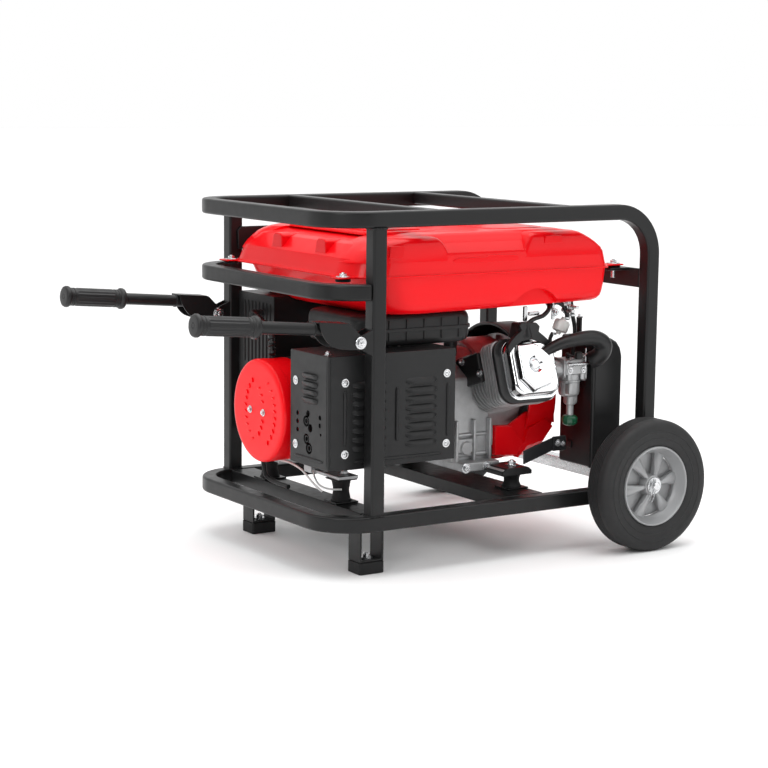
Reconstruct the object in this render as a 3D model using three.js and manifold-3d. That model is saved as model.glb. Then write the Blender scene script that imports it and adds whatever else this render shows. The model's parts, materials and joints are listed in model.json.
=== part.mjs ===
// A portable petrol generator on a two-wheeled tube frame with fold-down handles.
// Millimetres. +X runs from the handles to the wheels, +Y to the control panel, +Z up from the ground.
// The origin lies on the ground under the middle of the whole machine.
import * as THREE from "three";
import { mergeVertices } from "three/addons/utils/BufferGeometryUtils.js";
import Module from "manifold-3d";

const wasm = await Module();
wasm.setup();

// Driving dimensions of the frame.
const GAP = 0.3; // clearance between neighbouring pieces
const TUBE = 28.6; // square frame tube
const HALF_WIDTH = 272.3; // outer faces of the frame sides
const LOOP_END = -266.5; // handle end of the three loops
const POST_LEFT = -184.5; // outer face of the left posts
const POST_RIGHT = 459.2; // outer face of the right posts
const BASE_BOTTOM = 84.1;
const FRAME_TOP = 648.1;
const MID_BOTTOM = 497.4;
const CORNER = 90; // outer radius of the loops' corners, seen from above
const BEND = 96; // outer radius of the upright bends
const BASE_TOP = BASE_BOTTOM + TUBE;
const INNER_SIDE = HALF_WIDTH - TUBE;
const POST_Y = HALF_WIDTH - TUBE / 2;

// Wheels and axle.
const WHEEL_RADIUS = 125;
const WHEEL_X = 397.5;
const WHEEL_OUTER = 357.3;
const WHEEL_WIDTH = 60;
const RIM_RADIUS = 76;
const SPOKE_TURN = THREE.MathUtils.degToRad(8);
const AXLE_BAR = 25;
const AXLE_RADIUS = 8;

// Handles.
const PIVOT_X = -211.5;
const PIVOT_Z = 423;
const HANDLE_TILT = THREE.MathUtils.degToRad(4.7);
const HANDLE_REACH = 319;
const HANDLE_RISE = 20; // tube axis above the pivot
const HANDLE_RADIUS = 11;
const GRIP_START = 196;

// Engine and alternator.
const CRANK_Z = 270;
const ALTERNATOR_RADIUS = 95;
const CYLINDER_X = 198;
const CYLINDER_RISE = THREE.MathUtils.degToRad(19);
const BLOWER_RADIUS = 134;
const BLOWER_X = 268;

const X = new THREE.Vector3(1, 0, 0);
const Y = new THREE.Vector3(0, 1, 0);
const Z = new THREE.Vector3(0, 0, 1);
const SIDES = { near: -1, far: 1 };

const paint = (color, roughness, metalness) =>
  new THREE.MeshStandardMaterial({ color, roughness, metalness });
const FRAME_BLACK = paint("#1d1e1f", 0.45, 0.2);
const RED = paint("#d3101c", 0.25, 0.1);
const BOX_BLACK = paint("#2a2b2c", 0.5, 0.2);
const CAST = paint("#a2a4a5", 0.5, 0.8);
const CHROME = paint("#d8dadc", 0.15, 1);
const ZINC = paint("#c4c6c8", 0.3, 0.9);
const RUBBER = paint("#17181a", 0.8, 0);
const PLASTIC = paint("#1b1c1e", 0.4, 0);
const RIM_GREY = paint("#9b9da0", 0.4, 0.3);
const SIGNAL_RED = paint("#b3141b", 0.4, 0);

const generator = new THREE.Group();

function piece(name, geometry, material) {
  const mesh = new THREE.Mesh(geometry, material);
  mesh.name = name;
  generator.add(mesh);
}

// Solids

function cuboid(low, high) {
  const size = high.map((value, i) => value - low[i]);
  const middle = low.map((value, i) => value + size[i] / 2);
  return new THREE.BoxGeometry(...size).translate(...middle);
}

// An outline drawn in the XY, XZ or YZ plane, thickened from one level to another across it.
const ACROSS = {
  xy: new THREE.Matrix4().makeBasis(X, Y, Z),
  xz: new THREE.Matrix4().makeBasis(X, Z, Y.clone().negate()),
  yz: new THREE.Matrix4().makeBasis(Y, Z, X),
};

function slab(outline, plane, from, to, curveSegments = 6) {
  const solid = new THREE.ExtrudeGeometry(outline, { depth: to - from, bevelEnabled: false, curveSegments });
  solid.translate(0, 0, plane === "xz" ? -to : from);
  return solid.applyMatrix4(ACROSS[plane]);
}

const polygon = (points) => new THREE.Shape(points.map(([a, b]) => new THREE.Vector2(a, b)));

// A rectangle with cut corners, as points in order.
function cutCorners(a0, a1, b0, b1, cut) {
  return [
    [a0 + cut, b0],
    [a1 - cut, b0],
    [a1, b0 + cut],
    [a1, b1 - cut],
    [a1 - cut, b1],
    [a0 + cut, b1],
    [a0, b1 - cut],
    [a0, b0 + cut],
  ];
}

// A profile of [radius, distance along] turned about an axis through a point.
const TURN = {
  x: (solid) => solid.rotateZ(-Math.PI / 2),
  y: (solid) => solid,
  z: (solid) => solid.rotateX(Math.PI / 2),
};

function turned(profile, axis, at, segments = 24) {
  const points = profile.map(([radius, along]) => new THREE.Vector2(radius, along));
  return TURN[axis](new THREE.LatheGeometry(points, segments)).translate(...at);
}

const rod = (radius, from, to, axis, at, segments = 20) =>
  turned([[0, from], [radius, from], [radius, to], [0, to]], axis, at, segments);

const ring = (inner, outer, from, to, axis, at, segments = 24) =>
  turned([[inner, from], [outer, from], [outer, to], [inner, to], [inner, from]], axis, at, segments);

// A closed skin through rings of points, all with the same count, stacked upwards.
function loft(levels) {
  const count = levels[0].points.length;
  const vertices = levels.flatMap(({ z, points }) => points.flatMap(([x, y]) => [x, y, z]));
  const faces = [];
  for (let level = 0; level + 1 < levels.length; level++) {
    for (let i = 0; i < count; i++) {
      const a = level * count + i;
      const b = level * count + ((i + 1) % count);
      faces.push(a, b, b + count, a, b + count, a + count);
    }
  }
  const top = (levels.length - 1) * count;
  for (let i = 1; i + 1 < count; i++) {
    faces.push(0, i + 1, i, top, top + i, top + i + 1);
  }
  const solid = new THREE.BufferGeometry();
  solid.setAttribute("position", new THREE.Float32BufferAttribute(vertices, 3));
  solid.setIndex(faces);
  solid.computeVertexNormals();
  return solid;
}

// Cutting and joining

function toSolid(geometry) {
  const loose = geometry.index ? geometry.toNonIndexed() : geometry;
  const bare = new THREE.BufferGeometry().setAttribute("position", loose.getAttribute("position"));
  const merged = mergeVertices(bare, 1e-3);
  const vertProperties = merged.attributes.position.array;
  const triVerts = new Uint32Array(merged.index.array);
  return new wasm.Manifold(new wasm.Mesh({ numProp: 3, vertProperties, triVerts }));
}

function toGeometry(solid) {
  const { vertProperties, triVerts } = solid.getMesh();
  const geometry = new THREE.BufferGeometry();
  geometry.setAttribute("position", new THREE.BufferAttribute(vertProperties, 3));
  geometry.setIndex(new THREE.BufferAttribute(triVerts, 1));
  geometry.computeVertexNormals();
  return geometry;
}

const join = (first, ...others) =>
  toGeometry(others.reduce((sum, other) => sum.add(toSolid(other)), toSolid(first)));

const cut = (body, ...tools) =>
  toGeometry(tools.reduce((left, tool) => left.subtract(toSolid(tool)), toSolid(body)));

// Frame

// A tube bent to a U in plan, closed at the handle end, with both legs ending at the same x.
function bentLoop(legEnd, bottom) {
  const corner = [LOOP_END + CORNER, HALF_WIDTH - CORNER];
  const inside = CORNER - TUBE;
  const outline = new THREE.Shape();
  outline.moveTo(legEnd, -HALF_WIDTH);
  outline.lineTo(corner[0], -HALF_WIDTH);
  outline.absarc(corner[0], -corner[1], CORNER, -Math.PI / 2, -Math.PI, true);
  outline.absarc(corner[0], corner[1], CORNER, Math.PI, Math.PI / 2, true);
  outline.lineTo(legEnd, HALF_WIDTH);
  outline.lineTo(legEnd, INNER_SIDE);
  outline.absarc(corner[0], corner[1], inside, Math.PI / 2, Math.PI, false);
  outline.absarc(corner[0], -corner[1], inside, Math.PI, 1.5 * Math.PI, false);
  outline.lineTo(legEnd, -INNER_SIDE);
  return slab(outline, "xy", bottom, bottom + TUBE, 8);
}

// The upright at the wheel end, bent over at its top to meet the top loop.
function bentPost(side) {
  const centre = [POST_RIGHT - BEND, FRAME_TOP - BEND];
  const outline = new THREE.Shape();
  outline.moveTo(POST_RIGHT, BASE_TOP + GAP);
  outline.absarc(...centre, BEND, 0, Math.PI / 2, false);
  outline.absarc(...centre, BEND - TUBE, Math.PI / 2, 0, true);
  outline.lineTo(POST_RIGHT - TUBE, BASE_TOP + GAP);
  const middle = side * POST_Y;
  return slab(outline, "xz", middle - TUBE / 2, middle + TUBE / 2, 8);
}

// The left upright with the two welded ears that carry a handle.
const EAR_HALF = 13.5;
const EAR_PLATE = 2.5;

function handlePost(side) {
  const y = side * POST_Y;
  const post = cuboid(
    [POST_LEFT, y - TUBE / 2, BASE_TOP + GAP],
    [POST_LEFT + TUBE, y + TUBE / 2, FRAME_TOP - TUBE - GAP],
  );
  const ear = new THREE.Shape();
  ear.moveTo(POST_LEFT + 1, PIVOT_Z + 22);
  ear.absarc(PIVOT_X, PIVOT_Z, 11, Math.PI / 2, 1.5 * Math.PI, false);
  ear.lineTo(POST_LEFT + 1, PIVOT_Z - 25);
  const ears = [-EAR_HALF, EAR_HALF - EAR_PLATE].map((low) => slab(ear, "xz", y + low, y + low + EAR_PLATE));
  const hole = rod(5.3, -20, 20, "y", [PIVOT_X, y, PIVOT_Z], 16);
  return cut(join(post, ...ears), hole);
}

function buildFrame() {
  piece("frame_top_loop", bentLoop(POST_RIGHT - BEND - GAP, FRAME_TOP - TUBE), FRAME_BLACK);
  const pastPosts = cuboid([POST_LEFT - GAP, -HALF_WIDTH - 1, MID_BOTTOM - 1], [0, HALF_WIDTH + 1, MID_BOTTOM + TUBE + 1]);
  piece("frame_mid_loop", cut(bentLoop(-100, MID_BOTTOM), pastPosts), FRAME_BLACK);
  piece("frame_base_loop", bentLoop(POST_RIGHT, BASE_BOTTOM), FRAME_BLACK);
  for (const [name, side] of Object.entries(SIDES)) {
    piece(`frame_post_left_${name}`, handlePost(side), FRAME_BLACK);
    piece(`frame_post_right_${name}`, bentPost(side), FRAME_BLACK);
  }
  const reach = INNER_SIDE - GAP;
  const barWidth = 24;
  const crossbars = { left: -42, right: 252 };
  for (const [name, x] of Object.entries(crossbars)) {
    const low = [x - barWidth / 2, -reach, FRAME_TOP - barWidth];
    const high = [x + barWidth / 2, reach, FRAME_TOP];
    piece(`top_crossbar_${name}`, cuboid(low, high), FRAME_BLACK);
  }
}

// An angle bar between the right posts, with two arms that reach in to the tank's ears.
const TANK_EAR_X = 408;
const TANK_EAR_Y = 196;

function buildTankBracket() {
  const bar = cuboid([POST_RIGHT - TUBE + 1, -INNER_SIDE + GAP, 488], [POST_RIGHT - TUBE + 7, INNER_SIDE - GAP, 524]);
  const arms = Object.values(SIDES).map((side) => {
    const y = side * TANK_EAR_Y;
    return cuboid([TANK_EAR_X - 22, y - 20, 519], [POST_RIGHT - TUBE + 2, y + 20, 524]);
  });
  piece("tank_end_bracket", join(bar, ...arms), FRAME_BLACK);
}

// An upturned channel across the base loop.
function channel(x0, x1, reach, height, wall) {
  const outer = cuboid([x0, -reach, BASE_TOP - height], [x1, reach, BASE_TOP]);
  const inner = cuboid([x0 + wall, -reach - 1, BASE_TOP - height - 1], [x1 - wall, reach + 1, BASE_TOP - wall]);
  return cut(outer, inner);
}

const RAIL_LEFT = [-184, -134];
const RAIL_RIGHT = [124, 214];
const RAIL_HEIGHT = 24;

function buildRails() {
  const betweenCorners = 236; // the left rail lies where the loop's corners already turn in
  piece("engine_rail_left", channel(...RAIL_LEFT, betweenCorners, RAIL_HEIGHT, 3), FRAME_BLACK);
  piece("engine_rail_right", channel(...RAIL_RIGHT, INNER_SIDE - GAP, RAIL_HEIGHT, 3), FRAME_BLACK);
}

// Each foot is a strap bent to a U under the left rail, with a rubber block bolted beneath it.
const FOOT_X = -159;
const FOOT_Y = { near: -216, far: 172 };
const FOOT_BLOCK = 22;

function buildFeet() {
  for (const [name, y] of Object.entries(FOOT_Y)) {
    const top = BASE_TOP - RAIL_HEIGHT - GAP;
    const bottom = FOOT_BLOCK + GAP;
    const outer = cuboid([FOOT_X - 25, y - 20, bottom], [FOOT_X + 25, y + 20, top]);
    const gap = cuboid([FOOT_X - 21, y - 21, bottom + 4], [FOOT_X + 21, y + 21, top - 4]);
    piece(`foot_bracket_${name}`, cut(outer, gap), FRAME_BLACK);
    const sole = cutCorners(FOOT_X - 26, FOOT_X + 26, y - 22, y + 22, 3);
    piece(`foot_pad_${name}`, slab(polygon(sole), "xy", 0, FOOT_BLOCK), RUBBER);
  }
}

// Wheels

// A square bar across the base loop, turned down to a spindle at each end.
function buildAxle() {
  const z = WHEEL_RADIUS;
  const half = AXLE_BAR / 2;
  const bar = cuboid([WHEEL_X - half, -HALF_WIDTH, BASE_TOP + GAP], [WHEEL_X + half, HALF_WIDTH, z + half]);
  const spindle = rod(AXLE_RADIUS, -WHEEL_OUTER, WHEEL_OUTER, "y", [WHEEL_X, 0, z], 16);
  piece("axle", join(bar, spindle), ZINC);
}

function tyre(side) {
  const half = WHEEL_WIDTH / 2;
  const shoulder = 10;
  const profile = [
    [RIM_RADIUS, -half + 6],
    [WHEEL_RADIUS - 22, -half],
    [WHEEL_RADIUS - shoulder, -half + 2],
    [WHEEL_RADIUS, -half + shoulder],
    [WHEEL_RADIUS, half - shoulder],
    [WHEEL_RADIUS - shoulder, half - 2],
    [WHEEL_RADIUS - 22, half],
    [RIM_RADIUS, half - 6],
    [RIM_RADIUS, -half + 6],
  ];
  return turned(profile, "y", [WHEEL_X, side * (WHEEL_OUTER - half), WHEEL_RADIUS], 32);
}

// A dished rim with a thick hub and six wedge spokes that widen towards the rim.
function rim(side) {
  const centre = [WHEEL_X, side * (WHEEL_OUTER - WHEEL_WIDTH / 2), WHEEL_RADIUS];
  const outerRadius = RIM_RADIUS - GAP;
  const band = ring(62, outerRadius, -22, 22, "y", centre, 32);
  const hub = rod(22, -27, 27, "y", centre, 16);
  const web = rod(64, -6, 6, "y", centre, 32);
  const windows = [0, 1, 2, 3, 4, 5].map((i) => {
    const turn = (i + 0.5) * (Math.PI / 3) + SPOKE_TURN;
    const window = polygon([
      [25, -4],
      [54, -15],
      [58, -11],
      [58, 11],
      [54, 15],
      [25, 4],
    ]);
    return slab(window, "xz", -10, 10).rotateY(-turn).translate(...centre);
  });
  const bore = rod(AXLE_RADIUS + 0.4, -40, 40, "y", centre, 16);
  return cut(join(band, web, hub), ...windows, bore);
}

function buildWheels() {
  for (const [name, side] of Object.entries(SIDES)) {
    piece(`tyre_${name}`, tyre(side), RUBBER);
    piece(`rim_${name}`, rim(side), RIM_GREY);
  }
}

// Handles

// Places a solid drawn with the handle level and its pivot at the origin, reaching towards -X.
function onHandle(solid, side) {
  return solid.rotateY(HANDLE_TILT).translate(PIVOT_X, side * POST_Y, PIVOT_Z);
}

// The tube with the folded yoke that straddles the ears.
function handleArm(side) {
  const tube = rod(HANDLE_RADIUS, -HANDLE_REACH + 6, -27, "x", [0, 0, HANDLE_RISE], 16);
  const cheek = new THREE.Shape();
  cheek.moveTo(0, -12.5);
  cheek.absarc(0, 0, 12.5, -Math.PI / 2, Math.PI / 2, false);
  cheek.lineTo(-25, 33);
  cheek.lineTo(-87, 33);
  cheek.lineTo(-79, 18);
  cheek.lineTo(-60, -6);
  cheek.lineTo(-21, -12.8);
  const cheeks = [-17, 14.5].map((low) => slab(cheek, "xz", low, low + 2.5));
  const web = cuboid([-87, -17, 30.5], [-25, 17, 33]);
  const hole = rod(5.3, -20, 20, "y", [0, 0, 0], 16);
  return onHandle(cut(join(tube, web, ...cheeks), hole), side);
}

function handleGrip(side) {
  const bore = HANDLE_RADIUS + GAP;
  const start = -GRIP_START;
  const end = -HANDLE_REACH;
  const profile = [
    [0, end],
    [17, end],
    [20, end + 3],
    [20, end + 7],
    [16.5, end + 10],
    [16.5, start - 10],
    [20, start - 7],
    [20, start],
    [bore, start],
    [bore, end + 5],
    [0, end + 5],
  ];
  return onHandle(turned(profile, "x", [0, 0, HANDLE_RISE], 20), side);
}

// The bolt through ears and yoke, with a hexagon head and nut.
function handlePivot(side) {
  const shank = rod(5, -20, 20, "y", [0, 0, 0], 16);
  const ends = [-24, 17.3].map((low) => rod(9, low, low + 6.7, "y", [0, 0, 0], 6));
  return onHandle(join(shank, ...ends), side);
}

function buildHandles() {
  for (const [name, side] of Object.entries(SIDES)) {
    piece(`handle_arm_${name}`, handleArm(side), FRAME_BLACK);
    piece(`handle_grip_${name}`, handleGrip(side), RUBBER);
    piece(`handle_pivot_${name}`, handlePivot(side), ZINC);
  }
}

// Fuel tank

const SEAM = 528;
const TANK_TOP = 602;
const CAP_AT = [92, 20];
const LEFT_ROUND = 70; // corner radii of the tank, seen from above
const RIGHT_ROUND = 16;

function tankLevel(z, x0, x1, halfWidth) {
  const corners = [
    [x1 - RIGHT_ROUND, RIGHT_ROUND - halfWidth, RIGHT_ROUND, -90],
    [x1 - RIGHT_ROUND, halfWidth - RIGHT_ROUND, RIGHT_ROUND, 0],
    [x0 + LEFT_ROUND, halfWidth - LEFT_ROUND, LEFT_ROUND, 90],
    [x0 + LEFT_ROUND, LEFT_ROUND - halfWidth, LEFT_ROUND, 180],
  ];
  const points = corners.flatMap(([x, y, radius, start]) =>
    [0, 30, 60, 90].map((turn) => {
      const angle = THREE.MathUtils.degToRad(start + turn);
      return [x + radius * Math.cos(angle), y + radius * Math.sin(angle)];
    }),
  );
  return { z, points };
}

function buildTank() {
  const lower = loft([
    tankLevel(466, -140, 350, 212),
    tankLevel(476, -172, 361, 229),
    tankLevel(SEAM - GAP, -198, 364, 234),
  ]);
  piece("tank_lower_shell", lower, RED);
  const upper = loft([
    tankLevel(SEAM, -200, 366, 236),
    tankLevel(548, -194, 364, 235),
    tankLevel(568, -180, 355, 231),
    tankLevel(585, -158, 336, 223),
    tankLevel(592, -126, 312, 206),
    tankLevel(TANK_TOP, -40, 290, 190),
  ]);
  const rightEars = Object.values(SIDES).map((side) => {
    const y = side * TANK_EAR_Y;
    return cuboid([330, y - 18, SEAM], [TANK_EAR_X + 14, y + 18, SEAM + 3]);
  });
  const leftEars = Object.values(SIDES).map((side) => {
    const y = side * 205;
    return cuboid([-228, y - 16, SEAM], [-150, y + 16, SEAM + 3]);
  });
  piece("tank_upper_shell", join(upper, ...rightEars, ...leftEars), RED);
  const cap = turned([[0, 0], [34, 0], [38, 3], [38, 11], [34, 14], [0, 14]], "z", [...CAP_AT, TANK_TOP + GAP], 24);
  piece("fuel_cap", cap, PLASTIC);
}

// Electrics

const BOX_X = [-250.5, 19.5];
const BOX_Y = [102.3, 232.3];
const BOX_Z = [193, 396];
const PANEL_TOP = 466;
const SHEET = 3;

function buildVentBox() {
  const outer = cuboid([BOX_X[0], -BOX_Y[1], BOX_Z[0]], [BOX_X[1], -BOX_Y[0], BOX_Z[1]]);
  const inner = cuboid(
    [BOX_X[0] + SHEET, -BOX_Y[1] + SHEET, BOX_Z[0] + SHEET],
    [BOX_X[1] - SHEET, -BOX_Y[0] + 1, BOX_Z[1] - SHEET],
  );
  piece("vent_box", cut(outer, inner), BOX_BLACK);
}

const PANEL_X = [-168, 60];
const SWITCH_AT = [-112, 404];
const BREAKER_AT = [-40, 404];

function buildPanel() {
  const outer = cuboid([PANEL_X[0], BOX_Y[0], BOX_Z[0]], [PANEL_X[1], BOX_Y[1], PANEL_TOP]);
  const inner = cuboid(
    [PANEL_X[0] + SHEET, BOX_Y[0] + SHEET, BOX_Z[0] + SHEET],
    [PANEL_X[1] - SHEET, BOX_Y[1] + 1, PANEL_TOP - SHEET],
  );
  piece("panel_box", cut(outer, inner), BOX_BLACK);

  const front = BOX_Y[1] + GAP;
  const plate = cuboid([PANEL_X[0], front, BOX_Z[0]], [PANEL_X[1], front + SHEET, PANEL_TOP]);
  const switchHole = cuboid(
    [SWITCH_AT[0] - 12, front - 1, SWITCH_AT[1] - 15],
    [SWITCH_AT[0] + 12, front + 5, SWITCH_AT[1] + 15],
  );
  const breakerHole = rod(8, front - 1, front + 5, "y", [BREAKER_AT[0], 0, BREAKER_AT[1]], 16);
  piece("panel_face", cut(plate, switchHole, breakerHole), BOX_BLACK);

  const rocker = new THREE.Shape();
  rocker.moveTo(-4, -11);
  rocker.lineTo(4, -13);
  rocker.lineTo(3, 0);
  rocker.lineTo(6, 12);
  rocker.lineTo(-4, 11);
  const engineSwitch = slab(rocker, "yz", -10, 10).translate(SWITCH_AT[0], front, SWITCH_AT[1]);
  piece("engine_switch", engineSwitch, SIGNAL_RED);
  const button = turned(
    [[0, -4], [7.5, -4], [7.5, 6], [6.5, 7], [0, 7]],
    "y",
    [BREAKER_AT[0], front, BREAKER_AT[1]],
    16,
  );
  piece("breaker_button", button, PLASTIC);
}

// Alternator

const ALTERNATOR_X = [-259.5, -200, 92];
const SHAFT_RADIUS = 17;

function buildAlternator() {
  const centre = [0, 0, CRANK_Z];
  const [nose, joint, flange] = ALTERNATOR_X;
  const cover = [
    [0, nose],
    [88, nose],
    [94, nose + 3],
    [95.5, nose + 9],
    [95.5, joint - GAP],
    [91, joint - GAP],
    [91, nose + 12],
    [84, nose + 5],
    [0, nose + 5],
  ];
  piece("alternator_end_cover", turned(cover, "x", centre, 28), RED);
  piece("alternator_housing", ring(74, ALTERNATOR_RADIUS, joint, flange, "x", centre, 28), BOX_BLACK);

  // Rotor, shaft, crank webs and flywheel seat are one turned train.
  const train = [
    [0, nose + 12],
    [SHAFT_RADIUS, nose + 12],
    [SHAFT_RADIUS, joint + 30],
    [66, joint + 30],
    [66, flange - 40],
    [SHAFT_RADIUS + 4, flange - 40],
    [SHAFT_RADIUS + 4, 120],
    [48, 120],
    [48, 165],
    [SHAFT_RADIUS, 165],
    [SHAFT_RADIUS, 318],
    [0, 318],
  ];
  piece("rotor_crankshaft", turned(train, "x", centre, 24), CAST);

  const foot = join(
    cuboid([-180, -155, 158], [-138, 155, 164]),
    cuboid([-188, -72, 158], [-120, 72, 215]),
  );
  const cradle = rod(ALTERNATOR_RADIUS + GAP, -300, 200, "x", centre, 28);
  const arch = cuboid([-200, -46, 150], [-100, 46, 170]);
  piece("alternator_stand", cut(foot, cradle, arch), ZINC);
}

// Engine

const MOUNT_LEFT_X = -159;
const MOUNT_RIGHT_X = 190;
const MOUNT_LEFT_Y = 130;
const MOUNT_RIGHT_Y = 178;
const ENGINE_FOOT = 145;
const VALVE_COVER_SHIFT = 8.5; // the cover sits off the cylinder's axis, towards the carburettor

// A block along the cylinder axis: half sizes across it, and its start and end measured from the crank.
function alongCylinder(halfX, halfAcross, from, to, cutOff = 0) {
  const outline = polygon(cutCorners(-halfX, halfX, -halfAcross, halfAcross, cutOff));
  return slab(outline, "xz", -to, -from)
    .rotateX(-CYLINDER_RISE)
    .translate(CYLINDER_X, 0, CRANK_Z);
}

function buildEngine() {
  const centre = [0, 0, CRANK_Z];
  const caseX = [92 + GAP, 182];
  const body = polygon([
    [-116, 158],
    [112, 158],
    [112, 330],
    [76, 366],
    [-40, 366],
    [-116, 318],
  ]);
  const crankcase = slab(body, "yz", ...caseX);
  const flywheelSide = rod(108, 180, BLOWER_X - 6, "x", centre, 28);
  const base = cuboid([98, -150, ENGINE_FOOT], [180, 150, 162]);
  const lugs = Object.values(SIDES).map((side) => {
    const [low, high] = side < 0 ? [-205, -145] : [145, 205];
    return cuboid([150, low, ENGINE_FOOT], [214, high, 153]);
  });
  const barrel = alongCylinder(50, 50, 60, 168);
  const fins = [84, 100, 116, 132, 148].map((start) => alongCylinder(62, 60, start, start + 6, 14));
  const bore = rod(60, 60, 250, "x", centre, 24);
  const mainBearing = rod(SHAFT_RADIUS + 2, 240, 280, "x", centre, 20);
  const block = cut(join(crankcase, flywheelSide, base, ...lugs, barrel, ...fins), bore, mainBearing);
  piece("engine_block", block, CAST);

  const headCore = alongCylinder(54, 54, 168 + GAP, 214, 8);
  const headFins = [172, 186, 200].map((start) => alongCylinder(66, 60, start, start + 6, 14));
  piece("cylinder_head", join(headCore, ...headFins), CAST);
  const cover = join(
    alongCylinder(58, 56.5, 214 + GAP, 219, 22),
    alongCylinder(53, 51, 218, 240, 20),
    alongCylinder(44, 44, 239, 246, 18),
  );
  piece("valve_cover", cover.translate(VALVE_COVER_SHIFT, 0, 0), CHROME);

  const filler = turned([[0, -10], [9, -10], [9, 0], [15, 0], [15, 12], [0, 12]], "y", [0, 0, 0], 16);
  piece("oil_cap", filler.rotateX(Math.PI).translate(122, -116.4, 186), PLASTIC);
}

// The oil filler's socket is cut here so that the cap's plug sits inside it.
function cutOilFiller() {
  const block = generator.getObjectByName("engine_block");
  block.geometry = cut(block.geometry, rod(9.6, -118, -104, "y", [122, 0, 186], 16));
}

function buildCooling() {
  const centre = [0, 0, CRANK_Z];
  const back = BLOWER_X + 62;
  const housing = ring(BLOWER_RADIUS - 4, BLOWER_RADIUS, BLOWER_X - 4, back, "x", centre, 28);
  const backPlate = ring(70, BLOWER_RADIUS, back - 4, back, "x", centre, 28);
  const skirt = ring(BLOWER_RADIUS - 4, BLOWER_RADIUS, 186, BLOWER_X, "x", centre, 28);
  const keepLow = cuboid([180, -160, 225], [BLOWER_X - 3, 160, 420]);
  piece("blower_housing", join(housing, backPlate, cut(skirt, keepLow)), RED);

  const fan = turned(
    [
      [SHAFT_RADIUS + GAP, BLOWER_X + 4],
      [60, BLOWER_X + 4],
      [112, BLOWER_X + 20],
      [112, BLOWER_X + 44],
      [60, BLOWER_X + 40],
      [SHAFT_RADIUS + GAP, BLOWER_X + 40],
      [SHAFT_RADIUS + GAP, BLOWER_X + 4],
    ],
    "x",
    centre,
    28,
  );
  piece("flywheel_fan", fan, CAST);

  const cup = [
    [0, back + 40],
    [60, back + 40],
    [84, back + 34],
    [94, back + GAP],
    [90, back + GAP],
    [80, back + 30],
    [58, back + 36],
    [0, back + 36],
  ];
  const shell = turned([...cup].reverse(), "x", centre, 28);
  const spout = cuboid([back + 10, 74, CRANK_Z - 12], [back + 28, 100, CRANK_Z + 12]);
  const ropeHole = rod(6, 60, 110, "y", [back + 19, 0, CRANK_Z], 12);
  piece("recoil_cover", cut(join(shell, spout), ropeHole), RED);
  const pulley = turned([[0, back + 4], [56, back + 4], [50, back + 12], [56, back + 20], [0, back + 20]], "x", centre, 28);
  piece("starter_pulley", pulley, PLASTIC);
  const grip = turned([[0, 0], [14, 0], [18, 6], [12, 14], [16, 30], [0, 30]], "y", [back + 19, 100 + GAP, CRANK_Z], 16);
  piece("starter_grip", grip, PLASTIC);
}

// Intake, fuel and exhaust

const CARB = [322, -178];
const AIR_BOX_X = [355, 424];
const AIR_BOX_Y = [-212, -108];

function buildIntake() {
  const [x, y] = CARB;
  const body = join(
    cuboid([x - 24, y - 24, 312], [x + 24, y + 24, 352]),
    rod(21, 278, 316, "z", [x, y, 0], 20),
    rod(8, 243, 280, "z", [x, y, 0], 12),
    rod(15, 222, 245, "z", [x, y, 0], 16),
    rod(17, CYLINDER_X + 68 + GAP, x, "x", [0, y, 332], 16),
  );
  piece("carburetor", body, CAST);

  const choke = join(
    rod(4, 0, 10, "z", [0, 0, 0], 12),
    cuboid([-4, -34, 4], [4, 2, 8]),
    rod(6, 2, 16, "z", [0, -34, 0], 12),
  );
  piece("choke_lever", choke.translate(x - 8, y - 4, 352 + GAP), PLASTIC);

  const elbowPath = new THREE.CatmullRomCurve3([
    new THREE.Vector3(x + 24 + GAP, y, 332),
    new THREE.Vector3(x + 30, y, 332),
    new THREE.Vector3(AIR_BOX_X[0] - GAP, y, 332),
  ]);
  const elbow = new THREE.ExtrudeGeometry(polygon(cutCorners(-16, 16, -16, 16, 9)), {
    steps: 3,
    extrudePath: elbowPath,
    bevelEnabled: false,
  });
  piece("intake_elbow", elbow, RUBBER);

  const side = polygon([
    [AIR_BOX_X[0], 140],
    [AIR_BOX_X[1] - 14, 140],
    [AIR_BOX_X[1], 156],
    [AIR_BOX_X[1], 352],
    [AIR_BOX_X[1] - 30, 388],
    [AIR_BOX_X[0], 388],
  ]);
  piece("air_cleaner_box", slab(side, "xz", ...AIR_BOX_Y), PLASTIC);
}

const VALVE_AT = [300, -205, 450];

function buildFuelLine() {
  const [x, y, z] = VALVE_AT;
  const lever = join(rod(5, 0, 8, "z", [0, 0, 0], 12), cuboid([-4, -22, 2], [4, 0, 7]));
  piece("fuel_valve_lever", lever.translate(x, y, z), SIGNAL_RED);

  const route = new THREE.CatmullRomCurve3(
    [
      [x + 12, y + 14, 465],
      [x + 14, y + 12, 440],
      [x + 26, y + 18, 405],
      [CARB[0] + 16, CARB[1] + 12, 354],
    ].map((point) => new THREE.Vector3(...point)),
  );
  const section = polygon(cutCorners(-4, 4, -4, 4, 2.3));
  const hose = new THREE.ExtrudeGeometry(section, { steps: 10, extrudePath: route, bevelEnabled: false });
  piece("fuel_hose", hose, RUBBER);
}

function buildExhaust() {
  const can = loft(
    [
      { z: 400, inset: 10 },
      { z: 408, inset: 0 },
      { z: 448, inset: 0 },
      { z: 458, inset: 10 },
    ].map(({ z, inset }) => ({
      z,
      points: cutCorners(-170 + inset, 84 - inset, -196 + inset, -10 - inset, 26),
    })),
  );
  const pipe = rod(13, 60, 112, "x", [0, -80, 432], 16);
  const drop = rod(13, 356, 445, "z", [112, -80, 0], 16);
  piece("muffler", join(can, pipe, drop), BOX_BLACK);
}

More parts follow.
